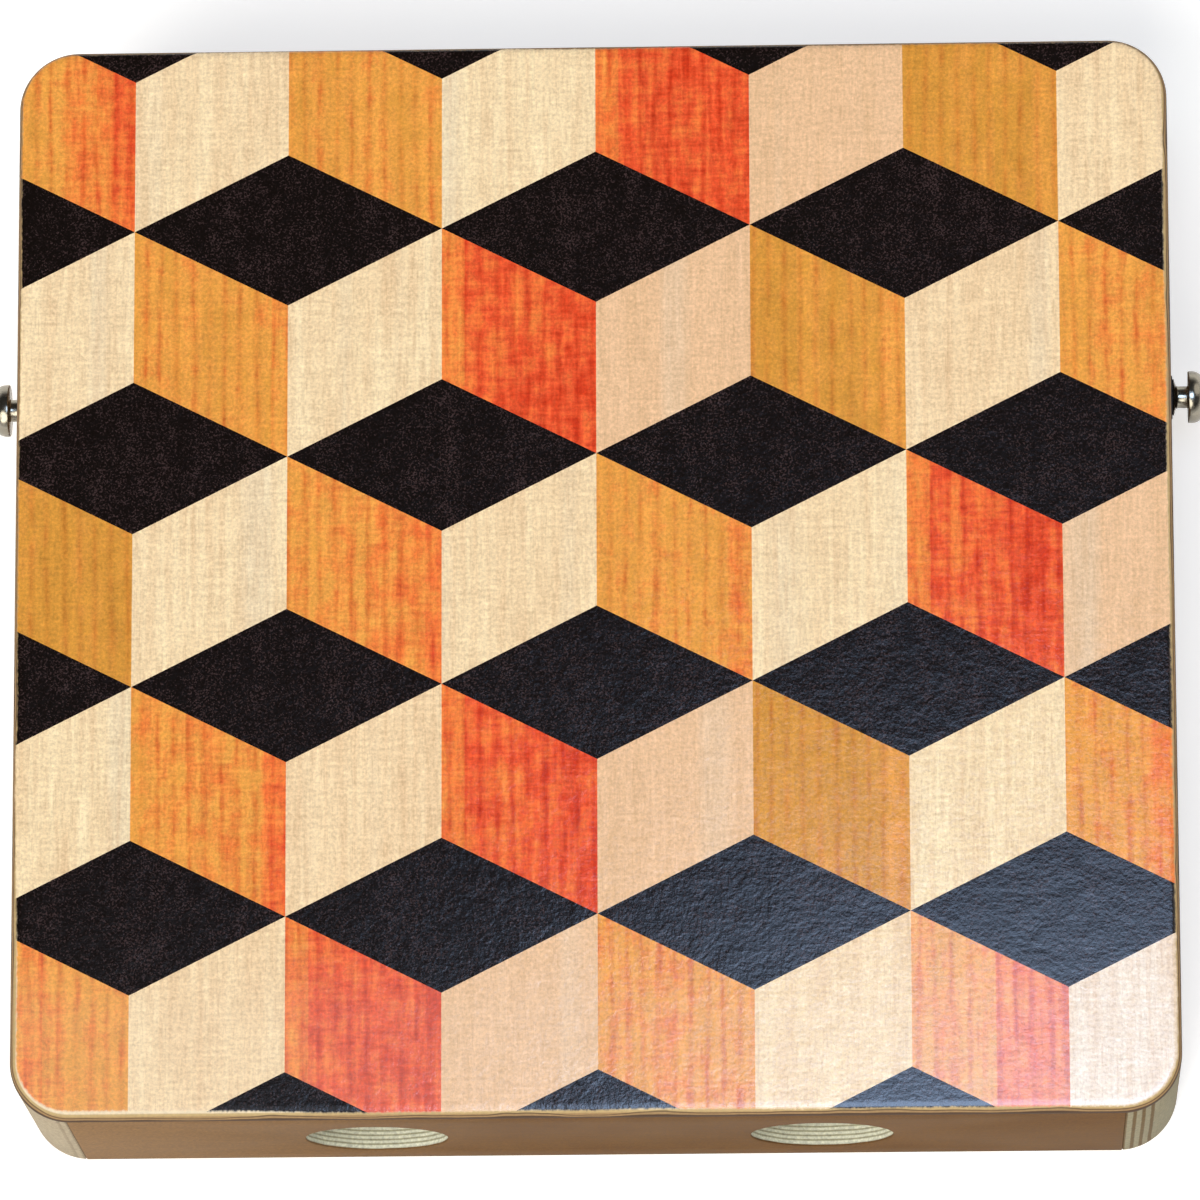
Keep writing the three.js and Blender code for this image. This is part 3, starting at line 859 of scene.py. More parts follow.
    def cut_edge(self, on: Surface, grit: Socket) -> Socket:
        """The bare wood and the plies that the rounded rim cuts through, with painted shade on the rim's
        lower part.

        Args:
            on: The plate's surface.
            grit: Fine noise that mottles them.

        Returns:
            The rim's colour.
        """
        depth = on.math("SUBTRACT", self.front, on.xyz(on.place)["Z"])
        waver = on.noise(on.shrink(on.place, self.waver))
        core = on.math("ADD", depth, on.ramp(waver, 0.3, 0.7, -self.wavering, self.wavering))
        edge = on.mix(on.ramp(depth, *self.bare_skin), Tint.WORN, Tint.PLATE_TAN)
        edge = on.mix(on.ramp(depth, *self.face_ply), edge, Tint.PLATE_PALE)
        # Painted shade: from these depths down, the rim is dark all the way to its rear.
        edge = on.mix(on.ramp(core, *self.rim_shade), edge, Tint.PLATE_DARK)
        from_seam = on.math("ABSOLUTE", on.math("SUBTRACT", core, self.seam))
        edge = on.mix(on.ramp(from_seam, *self.seam_soft, 0.75, 0.0), edge, Tint.PLATE_DARK)
        return on.scaled(edge, on.ramp(grit, 0.25, 0.75, 0.86, 1.12))

    def dress(self, on: Surface) -> None:
        """Joins print, worn rim, plies and varnish to the surface.

        Args:
            on: The plate's surface.
        """
        fine = on.noise(on.shrink(on.place, self.grit), 3.0, 0.65)
        bare = self.bare_rim(on)
        colour = on.mix(bare, self.print_colour(on), self.cut_edge(on, fine))
        gloss = on.ramp(fine, 0.3, 0.7, 0.11, 0.16)
        on.show(Base_Color=colour, Roughness=on.plus(gloss, bare, 0.65))
        lumps = on.noise(on.shrink(on.place, self.peel), 3.0, 0.6)
        lumps = on.plus(lumps, on.noise(on.shrink(on.place, 4.0 * self.peel), 1.0), 1.1)
        thin = on.math("POWER", on.ramp(self.inset(on, on.place), *self.thinned, 1.0, 0.0), 2.0)
        on.bump(on.plus(lumps, thin, -1.5), self.peel_depth)


@dataclass(frozen=True)
class PlywoodBoard(Finish):
    """A plywood wall: stained veneer outside, raw veneer inside and plies on its cut edges.

    Attributes:
        across: The axis that the board's thickness runs along.
        along: The axis that its face grain runs along.
        half: Distance from the drum's centre to the board's outside.
        thickness: The board's thickness.
        pale: Colour of its pale plies.
        dark: Colour of its dark plies.
        plain: Depth from the outside that shows no dark plies.
        ply: Thickness of one ply.
        plain_soft: Depth over which the dark plies come in.
        face: Thickness of the outer veneer.
        skin: Thickness of the raw surface inside.
        painted_light_from: Place across the drum where the veneer starts to be painted lighter towards the
            left, as painted light.
        painted_light_to: Place where that painted light is full.
        spacing: Width of a streak in the grain.
        grit: Size of the speckle.
        waver: Length over which the plies waver.
        wavering: How far they waver to either side.
        depth: Height of the grain.
    """

    across: Axis
    along: Axis
    half: float
    thickness: float
    pale: Tint
    dark: Tint
    plain: float = 0.0
    ply: float = 1.20 * MM
    plain_soft: float = 1.5 * MM
    face: float = 0.55 * MM
    skin: float = 0.03 * MM
    painted_light_from: float = -20.0 * MM
    painted_light_to: float = -170.0 * MM
    spacing: float = 5.0 * MM
    grit: float = 0.9 * MM
    waver: float = 14.0 * MM
    wavering: float = 0.12 * MM
    depth: float = 0.03 * MM

    def dress(self, on: Surface) -> None:
        """Joins veneer, plies and fine speckle to the surface, the veneer painted lighter towards the left as
        painted light.

        Args:
            on: The board's surface.
        """
        grain = on.grain(self.along, self.spacing)
        grit = on.speckle(self.grit)
        waver = on.noise(on.shrink(on.place, self.waver))
        inward = on.math("SUBTRACT", self.half, on.math("ABSOLUTE", on.xyz(on.place)[self.across.name]))
        uneven = on.math("ADD", inward, on.ramp(waver, 0.3, 0.7, -self.wavering, self.wavering))
        plies = on.effect(Effect.PLIES, Depth=uneven, Face=self.face, Ply=self.ply)

        # Painted light: the veneer turns lighter towards the left, where the key lamp stands.
        painted_light = on.ramp(on.xyz(on.place)["X"], self.painted_light_from, self.painted_light_to)
        veneer = on.mix(painted_light, on.mix(waver, Tint.VENEER, Tint.VENEER_DARK), Tint.VENEER_FADED)
        veneer = on.scaled(veneer, on.between(grain["Fibres"], 0.94, 1.05))
        shown = on.ramp(inward, self.plain, self.plain + self.plain_soft)
        core = on.mix(on.math("MULTIPLY", plies["Dark"], shown), self.pale, self.dark)
        core = on.scaled(core, on.between(grain["Fibres"], 0.92, 1.06))
        colour = on.mix(plies["Veneer"], core, veneer)
        inner = on.math("GREATER_THAN", inward, self.thickness - self.skin)
        colour = on.mix(inner, colour, on.mix(grain["Streaks"], Tint.INSIDE, Tint.BIRCH_DARK))
        colour = on.scaled(colour, on.between(grit, 0.74, 1.26))
        on.show(Base_Color=colour, Roughness=on.between(grit, 0.66, 0.82), Specular_IOR_Level=0.10)
        on.bump(on.math("ADD", grit, grain["Fibres"]), self.depth)


@dataclass(frozen=True)
class RawWood(Finish):
    """Bare wood with its grain along one axis.

    Attributes:
        pale: Colour of the early wood.
        dark: Colour of the streaks.
        along: The axis that the grain runs along.
        spacing: Width of a streak.
        grit: Size of the speckle.
        depth: Height of the grain.
    """

    pale: Tint
    dark: Tint
    along: Axis
    spacing: float
    grit: float = 0.8 * MM
    depth: float = 0.03 * MM

    def dress(self, on: Surface) -> None:
        """Joins grain and fibres to the surface.

        Args:
            on: The wood's surface.
        """
        grain = on.grain(self.along, self.spacing)
        grit = on.speckle(self.grit)
        colour = on.mix(grain["Streaks"], self.pale, self.dark)
        colour = on.scaled(colour, on.between(grain["Fibres"], 0.90, 1.08))
        colour = on.scaled(colour, on.between(grain["Patches"], 0.93, 1.05))
        on.show(Base_Color=colour, Roughness=on.between(grit, 0.60, 0.78), Specular_IOR_Level=0.30)
        on.bump(on.math("ADD", grit, grain["Fibres"]), self.depth)


@dataclass(frozen=True)
class PlatedMetal(Finish):
    """Bright metal with fine turning marks and a little tarnish.

    Attributes:
        tint: Colour of the clean metal.
        rough: Least roughness.
        tarnish: Share of the surface that is dulled.
        along: The axis that the turning marks run round or along.
        mark: Width of a turning mark.
        mark_depth: Its depth.
        cloud: Size of a dulled patch.
    """

    tint: Tint
    rough: float
    tarnish: float
    along: Axis
    mark: float = 0.5 * MM
    mark_depth: float = 0.004 * MM
    cloud: float = 2.6 * MM

    def dress(self, on: Surface) -> None:
        """Joins marks and tarnish to the surface.

        Args:
            on: The metal's surface.
        """
        lines = on.grain(self.along, self.mark)["Streaks"]
        dulled = on.ramp(on.speckle(self.cloud), 1.0 - self.tarnish, 1.0, 0.0, 0.75)
        rough = on.plus(on.between(lines, self.rough, self.rough + 0.10), dulled, 0.25)
        on.show(Base_Color=on.mix(dulled, self.tint, Tint.TARNISH), Roughness=rough, Metallic=1.0)
        on.bump(lines, self.mark_depth)


def zinc_screw(along: Axis) -> PlatedMetal:
    """The zinc plate of a screw that lies along an axis."""
    name = f"zinc_screw_{along.name.lower()}"
    return PlatedMetal(name, "zinc_steel", Tint.ZINC, rough=0.28, tarnish=0.30, along=along)


@dataclass(frozen=True)
class SoftBlack(Finish):
    """Matt black rubber or felt, with fine grit.

    Attributes:
        tint: The ground colour.
        pale: Colour of the raised grit.
        grit: Size of the grit.
        depth: Height of the grit.
    """

    tint: Tint
    pale: Tint
    grit: float
    depth: float

    def dress(self, on: Surface) -> None:
        """Joins grit to the surface.

        Args:
            on: The rubber's or the felt's surface.
        """
        grit = on.speckle(self.grit)
        colour = on.mix(on.ramp(grit, 0.3, 1.0), self.tint, self.pale)
        on.show(Base_Color=colour, Roughness=on.between(grit, 0.72, 0.95), Specular_IOR_Level=0.25)
        on.bump(grit, self.depth)


@dataclass(frozen=True)
class StudioPaper(Finish):
    """Pale paper floor, a little brighter to the eye than the light on it.

    Attributes:
        glow: How much brighter.
        mottle: Size of its faint mottle.
    """

    glow: float = 0.40
    mottle: float = 60.0 * MM

    def dress(self, on: Surface) -> None:
        """Joins a faint mottle and the glow to the surface.

        Args:
            on: The floor's surface.
        """
        paper = on.scaled(Tint.FLOOR.rgba[:3], on.between(on.speckle(self.mottle), 0.99, 1.0))
        on.show(Base_Color=paper, Roughness=0.9, Specular_IOR_Level=0.0)
        ray = on.node("ShaderNodeLightPath").outputs
        seen = on.math("MAXIMUM", ray["Is Camera Ray"], ray["Is Glossy Ray"])
        seen = on.math("MAXIMUM", seen, ray["Is Transmission Ray"])
        on.show(Emission_Color=(1.0, 1.0, 1.0, 1.0), Emission_Strength=on.math("MULTIPLY", seen, self.glow))


# Mesh making


@dataclass(frozen=True)
class Box:
    """The box round one CAD node at rest.

    Attributes:
        low: Its corner with the least X, Y and Z.
        high: Its corner with the greatest.
    """

    low: Vector
    high: Vector

    @classmethod
    def of(cls, node: str) -> Box:
        """The box of a node, by its name."""
        low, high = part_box(node)
        return cls(Vector(low), Vector(high))

    @property
    def centre(self) -> Vector:
        """Middle of the box."""
        return (self.low + self.high) / 2

    @property
    def size(self) -> Vector:
        """Edge lengths of the box."""
        return self.high - self.low

    @property
    def side_reach(self) -> Pair:
        """Distances from the drum's middle, across it, to the box's near and far faces."""
        near, far = sorted((abs(self.low.x), abs(self.high.x)))
        return near, far


class MeshMaker:
    """Mesh building that the sub-assemblies share."""

    SHARP = math.radians(35)

    @classmethod
    def raw(
        cls,
        name: str,
        points: Iterable[Sequence[float]],
        edges: Iterable[Sequence[int]] = (),
        faces: Iterable[Sequence[int]] = (),
    ) -> Piece:
        """Makes a mesh object as it is given.

        Args:
            name: The object's name.
            points: The vertices.
            edges: The vertices of each loose edge.
            faces: The vertices of each face.

        Returns:
            The new object, in the scene.
        """
        mesh = bpy.data.meshes.new(name)
        mesh.from_pydata(list(points), list(edges), list(faces))
        piece = bpy.data.objects.new(name, mesh)
        bpy.context.collection.objects.link(piece)
        return piece

    @classmethod
    def solid(cls, name: str, points: Iterable[Point], faces: Iterable[Sequence[int]]) -> Piece:
        """Makes a closed mesh object with its faces pointing out.

        Args:
            name: The object's name.
            points: The vertices.
            faces: The vertices of each face.

        Returns:
            The new object.
        """
        piece = cls.raw(name, points, faces=faces)
        edit = bmesh.new()
        edit.from_mesh(piece.data)
        bmesh.ops.recalc_face_normals(edit, faces=edit.faces)
        edit.to_mesh(piece.data)
        edit.free()
        return piece

    @classmethod
    def loft(cls, name: str, rings: Sequence[Sequence[Point]]) -> Piece:
        """Makes a body through rings of equal count, closed at both ends.

        Args:
            name: The object's name.
            rings: The rings, in order.

        Returns:
            The new object.
        """
        count = len(rings[0])
        points = [point for ring in rings for point in ring]
        faces: list[Sequence[int]] = [range(count), range(len(points) - count, len(points))]
        for base in range(0, len(points) - count, count):
            for step in range(count):
                after = (step + 1) % count
                faces.append((base + step, base + after, base + count + after, base + count + step))
        return cls.solid(name, points, faces)

    @classmethod
    def prism(cls, name: str, outline: Sequence[Pair], low: float, high: float) -> Piece:
        """Makes an upright body of one outline between two levels."""
        return cls.loft(name, [[(x, y, level) for x, y in outline] for level in (low, high)])

    @classmethod
    def turned(cls, name: str, profile: Sequence[Pair], steps: int) -> Piece:
        """Turns a profile about Z.

        Args:
            name: The object's name.
            profile: Radius and height of each point. It ends on the axis or closes on itself.
            steps: Steps in a full turn.

        Returns:
            The new object.
        """
        closed = profile[0] == profile[-1]
        points: list[Point] = []
        rings: list[list[int]] = []
        for radius, height in profile[: len(profile) - closed]:
            count = steps if radius > 0 else 1
            rings.append(list(range(len(points), len(points) + count)))
            for step in range(count):
                angle = math.tau * step / steps
                points.append((radius * math.cos(angle), radius * math.sin(angle), height))
        pairs = list(zip(rings, rings[1:])) + ([(rings[-1], rings[0])] if closed else [])
        faces = []
        for low, high in pairs:
            for step in range(steps):
                after = step + 1
                lower = (low[step % len(low)], low[after % len(low)])
                upper = (high[after % len(high)], high[step % len(high)])
                faces.append(tuple(dict.fromkeys(lower + upper)))
        return cls.solid(name, points, faces)

    @classmethod
    def arc(cls, centre: Pair, radius: float, start: float, end: float, steps: int) -> list[Pair]:
        """Points on an arc.

        Args:
            centre: The arc's centre.
            radius: Its radius.
            start: First angle in degrees.
            end: Last angle in degrees.
            steps: How many steps.

        Returns:
            The points, both ends among them.
        """
        across, up = centre
        angles = (math.radians(start + (end - start) * step / steps) for step in range(steps + 1))
        return [(across + radius * math.cos(angle), up + radius * math.sin(angle)) for angle in angles]

    @classmethod
    def ease(cls, piece: Piece, width: float) -> None:
        """Rounds a piece's sharp edges.

        Args:
            piece: The piece.
            width: How wide the rounding is.
        """
        edit = bmesh.new()
        edit.from_mesh(piece.data)
        sharp = [edge for edge in edit.edges if edge.calc_face_angle(0.0) > cls.SHARP]
        rounding = {"offset": width, "segments": 2, "profile": 0.5, "affect": "EDGES", "clamp_overlap": True}
        bmesh.ops.bevel(edit, geom=sharp, **rounding)
        edit.to_mesh(piece.data)
        edit.free()

    @classmethod
    def smooth(cls, piece: Piece) -> None:
        """Shades a piece smoothly between its sharp edges."""
        piece.data.polygons.foreach_set("use_smooth", [True] * len(piece.data.polygons))
        piece.data.set_sharp_from_angle(angle=cls.SHARP)

    @classmethod
    def wear(cls, piece: Piece, finish: Finish) -> None:
        """Gives a piece one finish."""
        piece.data.materials.clear()
        piece.data.materials.append(finish.material())


class TreeMaker(Graph):
    """A geometry node tree with named inputs, which leaves a plain mesh."""

    def __init__(self, name: str, sizes: Sequence[str], others: dict[str, str] | None = None) -> None:
        """Makes the tree's inputs, beside the geometry and the material.

        Args:
            name: The tree's name.
            sizes: Its inputs that are plain values.
            others: Its inputs of other kinds, and those kinds.
        """
        super().__init__(bpy.data.node_groups.new(name, "GeometryNodeTree"))
        inputs = {"Geometry": "NodeSocketGeometry", "Material": "NodeSocketMaterial"}
        inputs |= dict.fromkeys(sizes, VALUE) | (others or {})
        for socket, kind in inputs.items():
            self.tree.interface.new_socket(socket, in_out="INPUT", socket_type=kind)
        self.tree.interface.new_socket("Geometry", in_out="OUTPUT", socket_type="NodeSocketGeometry")
        self.takes = self.tree.nodes.new("NodeGroupInput").outputs

    def close(self, geometry: Socket) -> None:
        """Ends the tree with real meshes in one material.

        Args:
            geometry: What the tree has made.
        """
        real = self.put("GeometryNodeRealizeInstances", {0: geometry})
        feeds = {"Geometry": real, "Material": self.takes["Material"]}
        dressed = self.put("GeometryNodeSetMaterial", feeds)
        self.feed(self.tree.nodes.new("NodeGroupOutput").inputs[0], dressed)

    def apply(self, piece: Piece, finish: Finish, sizes: dict[str, object]) -> None:
        """Runs the tree on a piece and keeps the result as its plain mesh.

        Args:
            piece: The object whose mesh the tree works on.
            finish: What the result wears.
            sizes: Values of the tree's inputs, by name.
        """
        modifier = piece.modifiers.new(self.tree.name, "NODES")
        modifier.node_group = self.tree
        values = {"Material": finish.material()} | sizes
        for item in self.tree.interface.items_tree:
            if item.in_out == "INPUT" and item.name in values:
                modifier[item.identifier] = values[item.name]
        bpy.context.view_layer.update()
        evaluated = piece.evaluated_get(bpy.context.evaluated_depsgraph_get())
        mesh = bpy.data.meshes.new_from_object(evaluated)
        piece.modifiers.clear()
        old = piece.data
        piece.data = mesh
        mesh.name = piece.name
        bpy.data.meshes.remove(old)

    def at_points(self, points: Socket, copy: Socket, where: object = True) -> Socket:
        """Puts a copy of a shape on each point, or only where a selection is true."""
        feeds = {"Points": points, "Instance": copy, "Selection": where}
        return self.put("GeometryNodeInstanceOnPoints", feeds)

    def moved(self, geometry: Socket, place: object, turn: Point = (0.0, 0.0, 0.0)) -> Socket:
        """Moves and turns a shape."""
        feeds = {"Geometry": geometry, "Translation": place, "Rotation": turn}
        return self.put("GeometryNodeTransform", feeds)

    def half(self, size: str) -> Socket:
        """Half of one of the tree's sizes."""
        return self.math("MULTIPLY", self.takes[size], 0.5)

    def less(self, body: Socket, tool: Socket) -> Socket:
        """Cuts a shape out of a body."""
        return self.put("GeometryNodeMeshBoolean", {0: body, 1: tool}, operation="DIFFERENCE")

    def swept(self, path: Socket, sides: int, radius: Socket) -> Socket:
        """A bar with capped ends that follows a path.

        Args:
            path: The curve that it follows.
            sides: Sides of the bar.
            radius: Half of its thickness.

        Returns:
            The bar's socket.
        """
        section = self.put("GeometryNodeCurvePrimitiveCircle", {"Resolution": sides, "Radius": radius})
        feeds = {"Curve": path, "Profile Curve": section, "Fill Caps": True}
        return self.put("GeometryNodeCurveToMesh", feeds)

    def together(self, *parts: Socket) -> Socket:
        """Joins shapes into one geometry.

        Args:
            parts: The shapes.

        Returns:
            The joined geometry's socket.
        """
        join = self.tree.nodes.new("GeometryNodeJoinGeometry")
        for part in parts:
            self.tree.links.new(part, join.inputs[0])
        return join.outputs[0]


@cache
def hole_tree() -> TreeMaker:
    """A board with a row of two round holes through it.

    Returns:
        The tree, whose geometry is the uncut board.
    """
    tree = TreeMaker("sound_holes", ("Spacing", "Diameter", "Through"), {"First Hole": PLACE})
    feeds = {"Vertices": 128, "Radius": tree.half("Diameter"), "Depth": tree.takes["Through"]}
    drill = tree.put("GeometryNodeMeshCylinder", feeds)
    drill = tree.moved(drill, (0.0, 0.0, 0.0), (QUARTER_TURN, 0.0, 0.0))
    step = tree.joined(tree.takes["Spacing"], 0.0)
    feeds = {"Count": 2, "Start Location": tree.takes["First Hole"], "Offset": step}
    row = tree.put("GeometryNodeMeshLine", feeds)
    drills = tree.put("GeometryNodeRealizeInstances", {0: tree.at_points(row, drill)})
    tree.close(tree.less(tree.takes["Geometry"], drills))
    return tree


@cache
def copy_tree() -> TreeMaker:
    """Copies of one shape, one on each point of the geometry.

    Returns:
        The tree, whose Copy is the object to repeat.
    """
    tree = TreeMaker("copies_at_points", (), {"Copy": "NodeSocketObject"})
    copy = tree.node("GeometryNodeObjectInfo", {"Object": tree.takes["Copy"]}).outputs["Geometry"]
    tree.close(tree.at_points(tree.takes["Geometry"], copy))
    return tree


@cache
def cross_tree() -> TreeMaker:
    """A cross recess cut into a screw whose head faces +Z.

    Returns:
        The tree, whose geometry is the plain screw.
    """
    tree = TreeMaker("cross_recess", ("Top", "Span", "Width", "Depth"))
    deep = tree.math("MULTIPLY", tree.takes["Depth"], 2.0)
    size = tree.joined(tree.takes["Span"], tree.takes["Width"], deep)
    top = tree.joined(0.0, 0.0, tree.takes["Top"])
    screw = tree.takes["Geometry"]
    for turn in (QUARTER_TURN / 2, -QUARTER_TURN / 2):
        bar = tree.put("GeometryNodeMeshCube", {"Size": size})
        screw = tree.less(screw, tree.moved(bar, top, (0.0, 0.0, turn)))
    tree.close(screw)
    return tree


@cache
def socket_screw_tree() -> TreeMaker:
    """A tuning screw along Z: knurled head with a hex socket, and a threaded shank.

    Returns:
        The tree, whose geometry is the plain turned screw with its head's end at Z 0.
    """
    head_sizes = ("Head Radius", "Head Height", "Hex", "Hex Depth", "Ridge")
    thread_sizes = ("Thread Radius", "Crest", "Pitch", "Thread From", "Thread Length")
    tree = TreeMaker("socket_screw", head_sizes + thread_sizes)
    takes = tree.takes
    corner = tree.math("DIVIDE", takes["Hex"], math.sqrt(3.0))
    deep = tree.math("MULTIPLY", takes["Hex Depth"], 2.0)
    key = tree.put("GeometryNodeMeshCylinder", {"Vertices": 6, "Radius": corner, "Depth": deep})
    body = tree.less(takes["Geometry"], key)

    ring = tree.put("GeometryNodeMeshCircle", {"Vertices": 36, "Radius": takes["Head Radius"]})
    ring = tree.moved(ring, tree.joined(0.0, 0.0, tree.half("Head Height")))
    long = tree.math("MULTIPLY", takes["Head Height"], 0.8)
    ridge = tree.put("GeometryNodeMeshCylinder", {"Vertices": 6, "Radius": takes["Ridge"], "Depth": long})
    knurl = tree.at_points(ring, ridge)

    feeds = {
        "Resolution": 24,
        "Rotations": tree.math("DIVIDE", takes["Thread Length"], takes["Pitch"]),
        "Start Radius": takes["Thread Radius"],
        "End Radius": takes["Thread Radius"],
        "Height": takes["Thread Length"],
        "Reverse": True,
    }
    thread = tree.swept(tree.put("GeometryNodeCurveSpiral", feeds), 4, takes["Crest"])
    thread = tree.moved(thread, tree.joined(0.0, 0.0, takes["Thread From"]))
    tree.close(tree.together(body, knurl, thread))
    return tree


@cache
def string_tree() -> TreeMaker:
    """A wound string along a path: a core, a tight winding and a ball at each end.

    Returns:
        The tree, whose geometry is the path as a row of edges.
    """
    tree = TreeMaker("wound_string", ("Core", "Wire", "Bend", "Ball"), {"Turns": "NodeSocketInt"})
    takes = tree.takes
    path = tree.put("GeometryNodeMeshToCurve", {0: takes["Geometry"]})
    feeds = {"Curve": path, "Radius": takes["Bend"], "Count": 6, "Limit Radius": True}
    bent = tree.put("GeometryNodeFilletCurve", feeds, mode="POLY")
    core = tree.swept(bent, 10, tree.half("Core"))

    steps_per_turn = 8
    count = tree.math("MULTIPLY", takes["Turns"], float(steps_per_turn))
    fine = tree.put("GeometryNodeResampleCurve", {"Curve": bent, "Count": count}, mode="COUNT")
    normal = tree.put("GeometryNodeInputNormal")
    beside = tree.vector("CROSS_PRODUCT", tree.put("GeometryNodeInputTangent"), normal)
    angle = tree.math("MULTIPLY", tree.put("GeometryNodeInputIndex"), math.tau / steps_per_turn)
    along_normal = tree.scaled(normal, tree.math("COSINE", angle))
    along_side = tree.scaled(beside, tree.math("SINE", angle))
    offset = tree.scaled(tree.vector("ADD", along_normal, along_side), tree.half("Core"))
    wound = tree.put("GeometryNodeSetPosition", {"Geometry": fine, "Offset": offset})
    winding = tree.swept(wound, 5, tree.half("Wire"))

    ball = tree.put("GeometryNodeMeshUVSphere", {"Segments": 24, "Rings": 14, "Radius": tree.half("Ball")})
    balls = tree.at_points(bent, ball, tree.put("GeometryNodeCurveEndpointSelection"))
    tree.close(tree.together(core, winding, balls))
    return tree


@dataclass(frozen=True)
class CrossScrew:
    """A wood screw with a cross recess.

    Attributes:
        shank: Diameter of its shank.
        head: Diameter of its head.
        height: Height of its head.
        span: Length of the recess from end to end.
        width: Width of the recess's arms.
        depth: Depth of the recess.
        eased: Rounding of a pan head's edge, or 0 for a countersunk head.
        facet: Step along that rounding.
        steps: Steps round the screw.
    """

    shank: float
    head: float
    height: float
    span: float
    width: float
    depth: float
    eased: float = 0.0
    facet: float = 0.1 * MM
    steps: int = 48

    def build(self, name: str, length: float, finish: Finish) -> Piece:
        """Makes the screw along Z, with its point at 0.

        Args:
            name: The object's name.
            length: The screw's whole length.
            finish: What it wears.

        Returns:
            The screw.
        """
        shank, head = self.shank / 2, self.head / 2
        under = length - self.height
        collar = [(head, length)]
        if self.eased:
            centre = (head - self.eased, length - self.eased)
            dome = MeshMaker.arc(centre, self.eased, 0, 90, steps=round(self.eased / self.facet))
            collar = [(head, under), *dome]
        profile = [(0.0, 0.0), (shank, self.shank), (shank, under), *collar, (0.0, length)]
        screw = MeshMaker.turned(name, profile, self.steps)
        sizes = {"Top": length, "Span": self.span, "Width": self.width, "Depth": self.depth}
        cross_tree().apply(screw, finish, sizes)
        return screw


# Sub-assemblies


@dataclass
class SubAssembly:
    """A group of pieces that are made and dressed together.

    Attributes:
        frame: The loaded frame.
    """

    frame: dict

    def claim(self, piece: Piece, finish: Finish, nodes: Sequence[str]) -> None:
        """Says what a piece stands for and reports it.

        Args:
            piece: The piece, at the origin with its place in its mesh.
            finish: The finish that it wears; not used.
            nodes: The CAD nodes that it stands for.
        """
        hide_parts(*nodes)
        LOG.info("%s stands for %s, %d faces", piece.name, ", ".join(nodes), len(piece.data.polygons))

    def place(self, piece: Piece, finish: Finish, *nodes: str, body: str = "drum") -> None:
        """Dresses a finished piece and hands it to the frame.

        Args:
            piece: The piece, at the origin with its place in its mesh.
            finish: The finish that it wears.
            nodes: The CAD nodes that it stands for.
            body: The body that it moves with.
        """
        MeshMaker.smooth(piece)
        MeshMaker.wear(piece, finish)
        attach(piece, body)
        self.claim(piece, finish, nodes)

    def redress(self, finish: Finish, *nodes: str) -> None:
        """Gives CAD nodes that stay a finish.

        Args:
            finish: What they wear.
            nodes: The nodes' names.
        """
        for node in nodes:
            MeshMaker.wear(self.frame["nodes"][node], finish)
            LOG.info("%s keeps its shape and wears %s", node, finish.name)


@dataclass
class PlayingPlate(SubAssembly):
    """The tapa: a thin printed plate with a rounded rim.

    Attributes:
        corner: Radius of the plate's corners in plan.
        corner_steps: Steps round a corner.
        rim: Radius of its rounded front edge.
        rim_steps: Steps over that edge.
        eased: Rounding of its rear edge.
        flat_margin: Width of the flat ring inside the rounded edge.
    """

    corner: float = CORNER
    corner_steps: int = 28
    rim: float = 2.0 * MM
    rim_steps: int = 8
    eased: float = 0.35 * MM
    flat_margin: float = 1.0 * MM

    def ring(self, box: Box, inset: float, level: float) -> list[Point]:
        """The plate's outline at one level.

        Args:
            box: The plate's box.
            inset: How far inside the plan the outline lies.
            level: Its height.

        Returns:
            The outline's points.
        """
        points = []
        radius = self.corner - inset
        for quarter, (side_x, side_y) in enumerate(((1, 1), (-1, 1), (-1, -1), (1, -1))):
            centre = (side_x * (box.high.x - self.corner), side_y * (box.high.y - self.corner))
            arc = MeshMaker.arc(centre, radius, 90 * quarter, 90 * quarter + 90, self.corner_steps)
            points += [(x, y, level) for x, y in arc]
        return points

    def build(self) -> None:
        """Makes and dresses the plate."""
        box = Box.of("tapa")
        rear, front = box.low.z, box.high.z
        levels = [(self.eased + self.flat_margin, rear), (self.eased, rear), (0.0, rear + self.eased)]
        levels += MeshMaker.arc((self.rim, front - self.rim), self.rim, 180, 90, self.rim_steps)
        levels.append((self.rim + self.flat_margin, front))
        plate = MeshMaker.loft("playing_plate", [self.ring(box, inset, level) for inset, level in levels])
        finish = PrintedPlate("tumbling_block_print", "printed_plate", *box.high, self.corner)
        self.place(plate, finish, "tapa")


